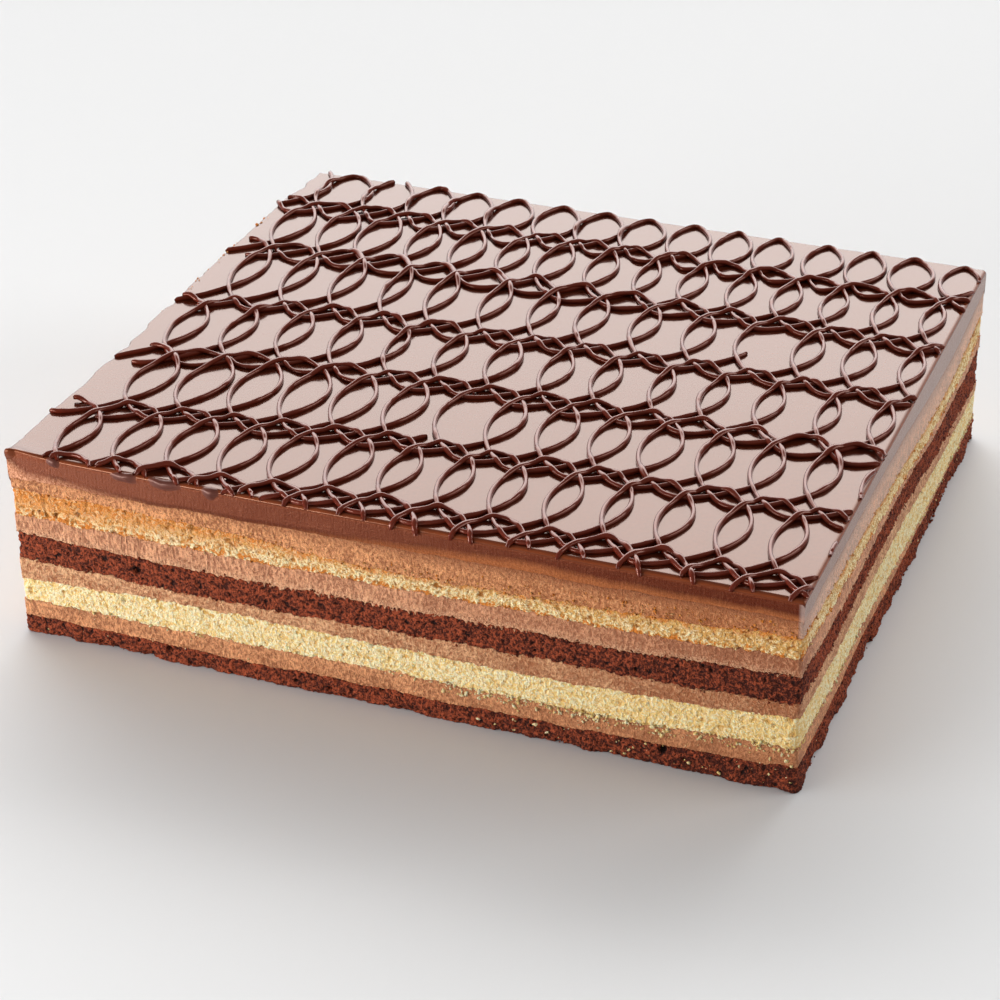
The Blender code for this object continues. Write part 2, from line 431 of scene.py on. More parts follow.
@dataclass(frozen=True)
class SpongeFinish:
    """Open crumb: grains of two tones with painted light and shade, gaps in painted shade, and skins browned
    in the oven.

    The skins lie above the rise upper_skin and below the rise lower_skin, with borders as ragged as given,
    and reach further down by left_skin towards the cake's left end, where left_warmth is the crumb's share of
    brown. right_shade darkens the right end of the front.
    """

    name: str
    light: Color
    dark: Color
    gap: Color
    skin: Color
    upper_skin: float
    lower_skin: float
    ragged: float
    left_skin: float
    soft: float
    right_shade: float = 0.06
    left_warmth: float = 0.0

    @functools.cache
    def material(self) -> bpy.types.Material:
        """Build the crumb from noise at three sizes, with the gaps and skins read from the mesh."""
        board = NodeBoard(bpy.data.materials.new(self.name))
        patches = board.noise(3.6 * MM, detail=2)
        grains = board.noise(1.05 * MM, detail=2)
        fine = board.noise(0.50 * MM, detail=3, rough=0.6)
        # Painted shade: the front is darkened towards its right end, for the fill light falling off there.
        right = board.span(board.along(0), 10 * MM, 115 * MM, 0.0, self.right_shade)
        shade = board.product(right, board.on_front())
        # Partly painted light and shade: the tone follows the same grain noise as the bump, so raised grains
        # are painted lighter and hollows darker, over the crumb's own random tone.
        tone = board.total((patches, 0.25), (grains, 0.65), (fine, 0.65), (shade, -1.0))
        crumb = board.blend(board.span(tone, 0.68, 0.88), self.dark, self.light)
        rise = board.attribute("rise")
        wander = board.total((patches, 1.2), (grains, 0.9), (fine, 0.5))
        strayed = board.product(board.math("SUBTRACT", wander, 1.3), self.ragged)
        leftness = board.span(board.along(0), -120 * MM, 10 * MM, 1.0, 0.0)
        lumps = board.span(board.total((patches, 0.7), (grains, 0.6)), 0.60, 0.72, 1.0, 0.05)
        crumb = board.blend(board.product(leftness, self.left_warmth, lumps), crumb, self.skin)
        spread = board.product(strayed, board.span(leftness, 0.0, 1.0, 1.0, 2.2))
        height = board.total((rise, 1.0), (spread, 1.0), (leftness, self.left_skin))
        high = board.span(height, self.upper_skin, self.upper_skin + 0.14)
        low = board.span(board.math("ADD", rise, strayed), self.lower_skin - 0.05, self.lower_skin, 1.0, 0.0)
        skin = board.blend(board.span(tone, 0.70, 0.90, 0.0, 0.45), self.skin, crumb)
        browned = board.blend(board.math("MAXIMUM", high, low), crumb, skin)
        # Painted shade: where the relief runs deep, in gaps and pits, the crumb is darkened towards the gap
        # colour.
        deep = board.total((board.attribute("gap"), 1.0), (fine, -0.9), (grains, -0.5))
        pitted = board.blend(board.span(deep, -0.62, 0.10), browned, self.gap)
        normal = board.bump(board.total((fine, 1.0), (grains, 0.8)), 1.3 * MM)
        return board.finish(
            pitted, 0.85, normal, Specular_IOR_Level=0.2, Subsurface_Weight=self.soft,
            Subsurface_Scale=0.8 * MM, Subsurface_Radius=(1.0, 0.6, 0.35),
        )


@dataclass(frozen=True)
class CreamFinish:
    """Coffee cream: satin and finely grained, with streaks and a paler fringe where the knife went down it.

    stain is how far down the glaze has coloured it, as a share of its height. The colour for the right end of
    the front is painted shade there, darker and deeper in tone, and sheen is how far a painted sheen pales
    the right side.
    """

    name: str
    light: Color
    dark: Color
    crease_shade_and_stain: Color
    right_shade_tone: Color
    grain: float
    streak: float = 0.0
    fringe: float = 0.0
    stain: float = 0.0
    sheen: float = 0.0
    roughness: float = 0.55

    @functools.cache
    def material(self) -> bpy.types.Material:
        """Build the cream from broad patches, upright streaks and fine grain."""
        board = NodeBoard(bpy.data.materials.new(self.name))
        patches = board.noise(9 * MM, detail=3)
        grains = board.noise(0.95 * MM, detail=2, rough=0.6, where=board.stretched((1, 1, 0.75)))
        fine = board.noise(0.42 * MM, detail=3, rough=0.65)
        drawn = board.span(board.along(0), -60 * MM, 40 * MM, self.streak, self.streak * 0.2)
        streaks = board.product(board.math("SUBTRACT", board.streaks(0.8 * MM, 4 * MM), 0.5), drawn)
        # Partly painted light and shade: the tone follows the same grain noise as the bump, so raised grain
        # is painted lighter and hollows darker, over the cream's own random tone.
        tone = board.total((patches, 0.35), (grains, 0.7), (fine, 0.5), (streaks, 1.0))
        color = board.blend(board.span(tone, 0.65, 0.90), self.dark, self.light)
        # Painted shade with a deeper tone: the front is darkened towards its right end, for the fill light
        # falling off there, a little less on raised grain.
        right = board.span(board.along(0), -10 * MM, 110 * MM, 0.0, 0.9)
        right_shade_share = board.product(right, board.on_front(0.15), board.span(tone, 0.70, 0.90, 1.0, 0.5))
        color = board.blend(right_shade_share, color, self.right_shade_tone)
        # Painted shade: creases and nicks are darkened in colour; the same dark colour also serves for the
        # glaze's stain.
        cut = board.span(board.total((board.attribute("gap"), 1.0), (fine, 0.5)), 0.30, 1.20)
        color = board.blend(cut, color, self.crease_shade_and_stain)
        rise = board.attribute("rise")
        if self.fringe:
            low = board.span(rise, 0.05, 0.42, self.fringe, 0.0)
            color = board.blend(board.product(low, board.span(fine, 0.46, 0.58)), color, CREAM_FRINGE)
        if self.stain:
            depth = board.total((rise, 1.0), (patches, 0.5), (streaks, 0.8), (grains, 0.25))
            reach = board.span(depth, 1.37 - self.stain, 1.42, 0.0, 0.9)
            along = board.span(board.along(0), -110 * MM, 60 * MM, 0.35, 1.0)
            color = board.blend(board.product(reach, along), color, self.crease_shade_and_stain)
        # Painted sheen: on the right side the cream is paled towards a light colour, for the gloss that
        # reflects the bright table there.
        color = board.blend(board.on_right(self.sheen), color, PAINTED_CREAM_SHEEN)
        smears = board.bump(streaks, 0.8 * MM)
        normal = board.bump(board.total((fine, 1.0), (grains, 1.0)), 1.3 * MM, self.grain, smears)
        return board.finish(
            color, self.roughness, normal, Specular_IOR_Level=0.35, Subsurface_Weight=0.10,
            Subsurface_Scale=0.8 * MM, Subsurface_Radius=(1.0, 0.5, 0.3),
        )


@dataclass(frozen=True)
class ChocolateFinish:
    """Set chocolate: a deep colour with one clear gloss, thinner and redder where it rolls over an edge."""

    name: str
    body: Color
    thin: Color
    tint: Color
    roughness: float
    gloss: float
    ripple: float

    @functools.cache
    def material(self) -> bpy.types.Material:
        """Build the chocolate with broad ripples and faint mottling."""
        board = NodeBoard(bpy.data.materials.new(self.name))
        broad = board.noise(11 * MM, detail=2)
        fine = board.noise(1.3 * MM, detail=3)
        shade = board.blend(board.span(fine, 0.2, 0.8, 0.0, 0.15), self.body, self.thin)
        edge = board.product(board.attribute("edge"), board.span(broad, 0.3, 0.7, 0.6, 1.0))
        color = board.blend(edge, shade, self.thin)
        ripples = board.bump(broad, 1.0 * MM, self.ripple)
        rough = board.span(fine, 0.3, 0.7, self.roughness * 0.85, self.roughness * 1.15)
        return board.finish(color, rough, ripples, IOR=self.gloss, Specular_Tint=(*self.tint, 1.0))


@dataclass(frozen=True)
class CutGlazeFinish:
    """The glaze's cut side: satin and streaked upright, paler at the left, with a dark line along its foot.

    On the front, at the left corner and from the middle to the right, the cream below was smeared over its
    foot. A painted sheen pales the right side.
    """

    name: str
    left: Color
    right: Color
    foot: Color
    rim: Color
    cream: Color
    cream_dark: Color
    cream_left: Color

    @functools.cache
    def material(self) -> bpy.types.Material:
        """Build the side from its two end colours, the rim, the foot and the cream smeared over it."""
        board = NodeBoard(bpy.data.materials.new(self.name))
        broad = board.noise(7 * MM, detail=3)
        fine = board.noise(0.5 * MM, detail=3)
        streaks = board.streaks(0.7 * MM, 5 * MM)
        leftness = board.span(board.along(0), -118 * MM, 100 * MM, 1.0, 0.0)
        mottle = board.total((broad, 0.5), (streaks, 0.5), (fine, 0.3))
        amount = board.math("ADD", leftness, board.span(mottle, 0.45, 0.85, -0.2, 0.2))
        color = board.blend(board.span(amount, 0.0, 1.0), self.right, self.left)
        rise = board.attribute("rise")
        foot = board.span(board.total((rise, 1.0), (broad, 0.35)), 0.22, 0.34, 0.6, 0.0)
        color = board.blend(foot, color, self.foot)
        color = board.blend(board.span(rise, 0.86, 1.0, 0.0, 0.6), color, self.rim)
        along = board.along(0)
        corner = board.span(along, -120 * MM, -114 * MM, 0.47, 0.0)
        left = board.span(along, -114 * MM, -75 * MM, 0.36, 0.0)
        middle = board.span(along, -30 * MM, 40 * MM, 0.0, 0.55)
        right = board.span(along, 45 * MM, 80 * MM, 0.0, -0.20)
        front = board.span(board.along(1), -108 * MM, -100 * MM, 1.0, 0.0)
        placed = board.total((corner, 1.0), (left, 1.0), (middle, 1.0), (right, 1.0))
        reach = board.total((board.product(placed, front), 1.0), (mottle, 0.30), (fine, 0.10))
        over = board.math("SUBTRACT", board.math("SUBTRACT", reach, rise), 0.23)
        # Partly painted light and shade: the smeared cream's tone follows the same grain noise as the bump,
        # so raised grain is painted lighter, over its own random tone.
        grains = board.total((board.noise(0.95 * MM, detail=2), 0.5), (board.noise(0.42 * MM, detail=3), 0.7))
        pale = board.blend(board.span(along, -110 * MM, -40 * MM), self.cream_left, self.cream)
        cream = board.blend(board.span(grains, 0.48, 0.72), self.cream_dark, pale)
        outline = board.span(over, -0.16, -0.04, 0.0, board.span(broad, 0.4, 0.6, 0.1, 0.8))
        color = board.blend(outline, color, self.foot)
        color = board.blend(board.span(over, -0.06, 0.34), color, cream)
        # Painted sheen: on the right side the cut glaze is paled towards a light colour, for the gloss that
        # reflects the bright table there.
        color = board.blend(board.on_right(0.36), color, PAINTED_GLAZE_SHEEN)
        grain = board.bump(board.total((streaks, 0.8), (fine, 0.6), (grains, 0.8)), 0.30 * MM)
        return board.finish(color, 0.34, grain, Specular_IOR_Level=0.5, Specular_Tint=(1.0, 0.40, 0.20, 1.0))


COCOA = SpongeFinish(
    "cocoa_sponge", light=(0.410, 0.080, 0.030), dark=(0.060, 0.009, 0.004), gap=(0.015, 0.003, 0.002),
    skin=(0.150, 0.025, 0.010), upper_skin=1.2, lower_skin=-0.3, ragged=0.2, left_skin=0.0, soft=0.0,
    right_shade=0.05,
)
PALE = SpongeFinish(
    "pale_sponge", light=(1.000, 0.900, 0.600), dark=(0.900, 0.610, 0.220), gap=(0.760, 0.430, 0.120),
    skin=(0.740, 0.380, 0.120), upper_skin=0.96, lower_skin=-0.3, ragged=0.10, left_skin=0.0, soft=0.20,
)
GOLDEN = SpongeFinish(
    "golden_sponge", light=(1.000, 0.850, 0.520), dark=(0.710, 0.380, 0.110), gap=(0.400, 0.150, 0.028),
    skin=(0.700, 0.225, 0.034), upper_skin=0.76, lower_skin=0.14, ragged=0.90, left_skin=0.36, soft=0.18,
    right_shade=0.08, left_warmth=0.75,
)
CREAM_FINE = CreamFinish(
    "fine_cream", light=(0.870, 0.390, 0.175), dark=(0.330, 0.112, 0.040), crease_shade_and_stain=(0.280, 0.090, 0.034),
    right_shade_tone=(0.390, 0.135, 0.049), grain=0.85, streak=0.2,
)
CREAM_ROUGH = CreamFinish(
    "rough_cream", light=(1.000, 0.570, 0.300), dark=(0.480, 0.168, 0.064), crease_shade_and_stain=(0.320, 0.100, 0.036),
    right_shade_tone=(0.420, 0.130, 0.042), grain=1.0,
)
CREAM_DRAWN = CreamFinish(
    "drawn_cream", light=(0.790, 0.380, 0.200), dark=(0.350, 0.130, 0.058), crease_shade_and_stain=(0.300, 0.100, 0.040),
    right_shade_tone=(0.290, 0.085, 0.028), grain=0.75, streak=0.8, fringe=0.7,
)
CREAM_TOP = CreamFinish(
    "top_cream", light=(0.930, 0.420, 0.180), dark=(0.370, 0.125, 0.043), crease_shade_and_stain=(0.260, 0.070, 0.021),
    right_shade_tone=(0.390, 0.116, 0.031), grain=0.9, streak=0.35, stain=0.42, sheen=0.35,
)
GLAZE = ChocolateFinish(
    "glaze", body=(0.062, 0.011, 0.005), thin=(0.210, 0.045, 0.013), tint=(1.0, 0.56, 0.37), roughness=0.15,
    gloss=1.46, ripple=0.06,
)
GLAZE_CUT = CutGlazeFinish(
    "glaze_cut", left=(0.160, 0.042, 0.021), right=(0.068, 0.0065, 0.0014), foot=(0.060, 0.009, 0.003),
    rim=(0.170, 0.032, 0.009), cream=(0.350, 0.112, 0.038), cream_dark=(0.230, 0.066, 0.021),
    cream_left=(0.700, 0.350, 0.210),
)
PIPED = ChocolateFinish(
    "piped_chocolate", body=(0.105, 0.014, 0.0065), thin=(0.160, 0.024, 0.011), tint=(1.0, 0.56, 0.44),
    roughness=0.10, gloss=1.46, ripple=0.03,
)
SMEARED = ChocolateFinish(
    "smeared_chocolate", body=(0.080, 0.022, 0.016), thin=(0.170, 0.044, 0.022), tint=(1.0, 0.66, 0.55),
    roughness=0.36, gloss=1.46, ripple=0.40,
)


# The cake's plan

class StackPlan:
    """Where the layers meet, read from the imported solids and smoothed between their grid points."""

    def __init__(self, order: list[str]) -> None:
        """Read the upper face of every layer but the glaze.

        Args:
            order: names of the layers' solids from the bottom up, the glaze last.
        """
        corner_low, corner_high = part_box("glaze")
        self.width = corner_high.x - corner_low.x
        self.depth = corner_high.y - corner_low.y
        self.top = corner_high.z
        self.order = order
        sheets = [self.points(name) for name in order[:-1]]
        self.x_lines = np.unique(sheets[1][:, 0].round(6))
        self.y_lines = np.unique(sheets[1][:, 1].round(6))
        self.uppers = np.stack([self.upper_grid(sheet) for sheet in sheets])

    @staticmethod
    def points(name: str) -> Array:
        """A solid's points, shape (n, 3)."""
        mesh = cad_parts[name].data
        flat = np.zeros(len(mesh.vertices) * 3)
        mesh.vertices.foreach_get("co", flat)
        return flat.reshape(-1, 3)

    def upper_grid(self, points: Array) -> Array:
        """The highest point of a solid at each grid line crossing."""
        column = np.abs(points[:, :1] - self.x_lines).argmin(1)
        row = np.abs(points[:, 1:2] - self.y_lines).argmin(1)
        grid = np.full((len(self.y_lines), len(self.x_lines)), -1.0)
        np.maximum.at(grid, (row, column), points[:, 2])
        return grid

    @staticmethod
    def spline_weights(place: Array, lines: Array) -> tuple[Array, Array]:
        """Catmull-Rom weights: a cubic through four even grid lines around each place.

        Returns:
            The four line indices for each place, and their weights, both of shape (n, 4).
        """
        along = np.clip((place - lines[0]) / (lines[1] - lines[0]), 0, len(lines) - 1)
        span = np.minimum(along.astype(int), len(lines) - 2)
        t = along - span
        weights = 0.5 * np.stack(
            [-t + 2 * t**2 - t**3, 2 - 5 * t**2 + 3 * t**3, t + 4 * t**2 - 3 * t**3, t**3 - t**2], axis=1)
        return np.clip(span[:, None] + np.arange(-1, 3), 0, len(lines) - 1), weights

    def seam(self, number: int, x: Array, y: Array) -> Array:
        """Height at which layer number meets the one above it; -1 is the cake's underside."""
        if number < 0:
            return np.zeros(len(x))
        columns, across = self.spline_weights(x, self.x_lines)
        rows, deep = self.spline_weights(y, self.y_lines)
        near = self.uppers[number][rows[:, :, None], columns[:, None, :]]
        smooth = np.einsum("nij,ni,nj->n", near, deep, across)
        place = with_third(np.column_stack([x, y]), number)
        broad, fine = smooth_noise(place, 9 * MM, Seed.SEAM), smooth_noise(place, 2.4 * MM, Seed.SEAM_FINE)
        return smooth + (0.40 * broad + 0.16 * fine) * MM


@dataclass(frozen=True)
class Outline:
    """The cake's outline in plan: a rectangle with rounded corners, walked from the front left one."""

    width: float
    depth: float
    corner: float = 0.9 * MM
    cells_across: int = 24
    cells_deep: int = 22

    def cell_corners(self) -> tuple[Array, Array]:
        """Points of the plain rectangle at the ends of its cells, counter-clockwise."""
        across = np.linspace(-0.5, 0.5, self.cells_across + 1) * self.width
        deep = np.linspace(-0.5, 0.5, self.cells_deep + 1) * self.depth
        x = np.concatenate([across[:-1], np.full(self.cells_deep, across[-1]), across[:0:-1],
                            np.full(self.cells_deep, across[0])])
        y = np.concatenate([np.full(self.cells_across, deep[0]), deep[:-1],
                            np.full(self.cells_across, deep[-1]), deep[:0:-1]])
        return x, y

    def walk(self, per_cell: int) -> tuple[Array, Array]:
        """Points round the outline and the directions that face outwards there.

        Formula: a point of the rectangle within one radius of a corner moves onto the circle round the
        corner's centre, along the line from that centre.

        Args:
            per_cell: points for each cell.

        Returns:
            Points and unit normals, both of shape (n, 2).
        """
        x, y = self.cell_corners()
        part = np.arange(per_cell) / per_cell
        x = (x[:, None] + (np.roll(x, -1) - x)[:, None] * part).ravel()
        y = (y[:, None] + (np.roll(y, -1) - y)[:, None] * part).ravel()
        core = np.stack([np.clip(x, self.corner - self.width / 2, self.width / 2 - self.corner),
                         np.clip(y, self.corner - self.depth / 2, self.depth / 2 - self.corner)], axis=1)
        normal = np.column_stack([x, y]) - core
        normal /= np.linalg.norm(normal, axis=1, keepdims=True)
        return core + normal * self.corner, normal


class Drag(Enum):
    """How the knife left the lower edge of a layer."""

    CLEAN = 0
    TEETH = 1


@dataclass
class Layer:
    """A sheet that runs through the cake: cut walls all round, its upper and lower faces hidden inside."""

    number: int
    rows: int
    per_cell: int
    finish: SpongeFinish | CreamFinish
    slot_name: str
    plan: StackPlan
    outline: Outline
    seed: int
    stand_out: float = 0.0
    overlap: float = 0.0
    crumble: tuple[float, float] = (0.0, 0.0)
    drag: Drag = Drag.CLEAN
    curl: float = 0.5 * MM
    lip: float = 1.5 * MM
    inner_inset: float = 6 * MM

    @property
    def name(self) -> str:
        """The layer's solid, by name."""
        return self.plan.order[self.number]

    def relief(self, points: Array, rise: Array) -> tuple[Array, Array]:
        """How far each wall point stands out, in metres, and how deep in a gap it lies, from 0 to 1."""
        raise NotImplementedError

    def edge_height(self, path: Array, upper: bool) -> Array:
        """Height of the wall's upper or lower edge: its seam, its overlap, its crumbs and dragged teeth."""
        if not upper and not self.number:
            return np.zeros(len(path))
        seam = self.plan.seam(self.number - (not upper), path[:, 0], path[:, 1])
        place = with_third(path, self.number + 0.5 * upper)
        crumbs = fractal_noise(place, 1.5 * MM, self.seed + 41 + upper, octaves=3) * self.crumble[upper]
        sign = 1 if upper else -1
        return seam + sign * (self.overlap + (0 if upper else self.teeth(path))) + crumbs

    def wall(self) -> tuple[Array, Array, Array]:
        """Work out the wall.

        Returns:
            Points of shape (rows, columns, 3), their rise from 0 at the lower edge to 1, and their gap depth.
        """
        path, normal = self.outline.walk(self.per_cell)
        lower, upper = self.edge_height(path, upper=False), self.edge_height(path, upper=True)
        rise = np.linspace(0, 1, self.rows)[:, None] + np.zeros(len(path))
        height = lower + (upper - lower) * rise
        flat = stand_over(path, height)
        points = flat.reshape(-1, 3)
        out, gap = self.relief(points, rise.ravel())
        below, above = height - lower, upper - height
        if not self.number:
            below = below + self.curl
        edge = np.minimum(below, above).ravel()
        tuck = self.curl * np.clip(1 - edge / (0.5 * MM), 0, 1) ** 2
        offset = (out + bulge(points) - tuck + self.stand_out).reshape(rise.shape)
        flat[..., :2] += normal * offset[..., None]
        return flat, rise, gap.reshape(rise.shape)

    def teeth(self, path: Array) -> Array:
        """How far the lower edge is dragged down at each point of the outline: thin points, in places."""
        if self.drag is Drag.CLEAN:
            return np.zeros(len(path))
        place = with_third(path, 0.3)
        fine = np.clip(smooth_noise(place, 0.62 * MM, Seed.TEETH) + 0.15, 0, 1) ** 1.5
        often = np.clip(smooth_noise(place, 26 * MM, Seed.TEETH_OFTEN) + 0.75, 0, 1)
        rightwards = np.clip((path[:, 0] + 75 * MM) / (40 * MM), 0.15, 1)
        return 1.5 * MM * fine * often * rightwards

    def build(self) -> bpy.types.Object:
        """Build the closed shell, dress it and put it in the solid's place."""
        wall, rise, gap = self.wall()
        rows, columns, _ = wall.shape
        indices = np.arange(rows * columns).reshape(rows, columns)
        faces = [ring_faces(indices[row], indices[row + 1]) for row in range(rows - 1)]
        blocks = [wall.reshape(-1, 3)]
        rises, gaps = [rise.ravel()], [gap.ravel()]
        total = rows * columns
        for upper in (False, True):
            edge = -1 if upper else 0
            block, cover = self.cover(wall[edge], indices[edge], upper, total)
            blocks.append(block)
            rises.append(np.full(len(block), float(upper)))
            gaps.append(np.zeros(len(block)))
            faces += cover
            total += len(block)
        attributes = {"rise": np.concatenate(rises), "gap": np.concatenate(gaps)}
        piece = make_piece(self.name + "_cut", np.concatenate(blocks), faces, attributes)
        return dress(piece, self.finish.material(), self.slot_name, self.name)

    def cover(self, edge: Array, ring: Array, upper: bool, start: int) -> tuple[Array, list]:
        """Close the shell inside the cake: a lip, then a coarse grid that follows the seam.

        Args:
            edge: the wall's last ring of points.
            ring: their indices.
            upper: whether this is the upper cover.
            start: index of the first new vertex.

        Returns:
            The new vertices and the faces.
        """
        outline = self.outline
        shrink = 1 - 2 * self.lip / np.array([outline.width, outline.depth])
        lip = edge * np.array([*shrink, 1.0])
        lip_ring = np.arange(len(ring)) + start
        inner_width = outline.width - 2 * self.inner_inset
        inner_depth = outline.depth - 2 * self.inner_inset
        x_lines = np.linspace(-0.5, 0.5, outline.cells_across + 1) * inner_width
        y_lines = np.linspace(-0.5, 0.5, outline.cells_deep + 1) * inner_depth
        x, y = (line.ravel() for line in np.meshgrid(x_lines, y_lines))
        height = self.plan.seam(self.number if upper else self.number - 1, x, y)
        height += (-COVER_GAP if upper else COVER_GAP) * (self.number > 0 or upper)
        grid = start + len(ring) + np.arange(len(x)).reshape(len(y_lines), len(x_lines))
        border = grid_border(grid)
        by_cell = lip_ring.reshape(len(border), -1)
        lips = np.column_stack([by_cell, np.roll(by_cell[:, 0], -1), np.roll(border, -1), border])
        faces = [ring_faces(ring, lip_ring), lips, grid_faces(grid)]
        if not upper:
            faces = [block[:, ::-1] for block in faces]
        return np.concatenate([lip, np.column_stack([x, y, height])]), faces


@dataclass
class SpongeLayer(Layer):
    """Sponge: packed grains of two sizes with gaps between, a few round holes, and frayed upright corners."""

    overlap: float = 0.8 * MM
    holes: float = 0.05
    rough: float = 1.0
    foot: float = 0.0

    def relief(self, points: Array, rise: Array) -> tuple[Array, Array]:
        """Sum grains, lumps, holes and fraying."""
        clumps = packed_grains(points, 2.1 * MM, self.seed) - 0.65
        grains = packed_grains(points, 1.05 * MM, self.seed + 10) - 0.65
        lumps = smooth_noise(points, 5 * MM, self.seed + 20)
        pits = scattered_pits(points, 3.2 * MM, self.holes, 0.35, self.seed + 30)
        small = scattered_pits(points, 1.5 * MM, 3 * self.holes, 0.4, self.seed + 50)
        foot = self.foot * (1 - rise) * smooth_noise(points * np.array([1, 1, 0]), 6 * MM, self.seed + 70)
        crumb = self.rough * (0.62 * clumps + 0.62 * grains + 0.16 * lumps)
        frayed = self.corner_closeness(points) * (0.35 + 0.45 * lumps)
        gap = np.clip(-1.5 * grains - 1.2 * clumps + 2.6 * pits + 2.2 * small, 0, 1)
        return (crumb - 4.0 * pits - 1.6 * small - frayed + foot) * MM, gap

    def corner_closeness(self, points: Array) -> Array:
        """1 at the upright corners, falling to 0 two millimetres away."""
        from_side = np.clip(self.outline.width / 2 - np.abs(points[:, 0]), 0, None)
        from_face = np.clip(self.outline.depth / 2 - np.abs(points[:, 1]), 0, None)
        return np.clip(1 - (from_side + from_face) / (2 * MM), 0, 1)


@dataclass
class CreamLayer(Layer):
    """Cream: nearly flat where the knife passed, with fine grain, flaky creases and a few upright nicks."""

    grain: float = 0.07
    streak: float = 0.03
    flake: float = 0.0
    nicks: tuple[float, ...] = ()

    def relief(self, points: Array, rise: Array) -> tuple[Array, Array]:
        """Sum grain, streaks, creases and nicks; the nicks' places are millimetres along the front."""
        grain = fractal_noise(points, 0.9 * MM, self.seed, octaves=2)
        streaks = smooth_noise(points, (0.9 * MM, 0.9 * MM, 3.5 * MM), self.seed + 10)
        creases = 1 - np.abs(smooth_noise(points, (1.9 * MM, 1.9 * MM, 0.8 * MM), self.seed + 20))
        creases = np.clip(creases - 0.72, 0, 1) * 3.5 * self.flake * (1 - 0.5 * rise)
        places = np.array(self.nicks)[None, :] * MM
        near = 0.6 * np.exp(-(((points[:, :1] - places) / (0.20 * MM)) ** 2)).sum(1)
        nicked = near * (points[:, 1] < 0) * np.clip(4 * rise, 0, 1)
        out = self.grain * grain + self.streak * streaks - 0.28 * creases - 0.35 * nicked
        return out * MM, np.clip(0.7 * creases + nicked, 0, 1)


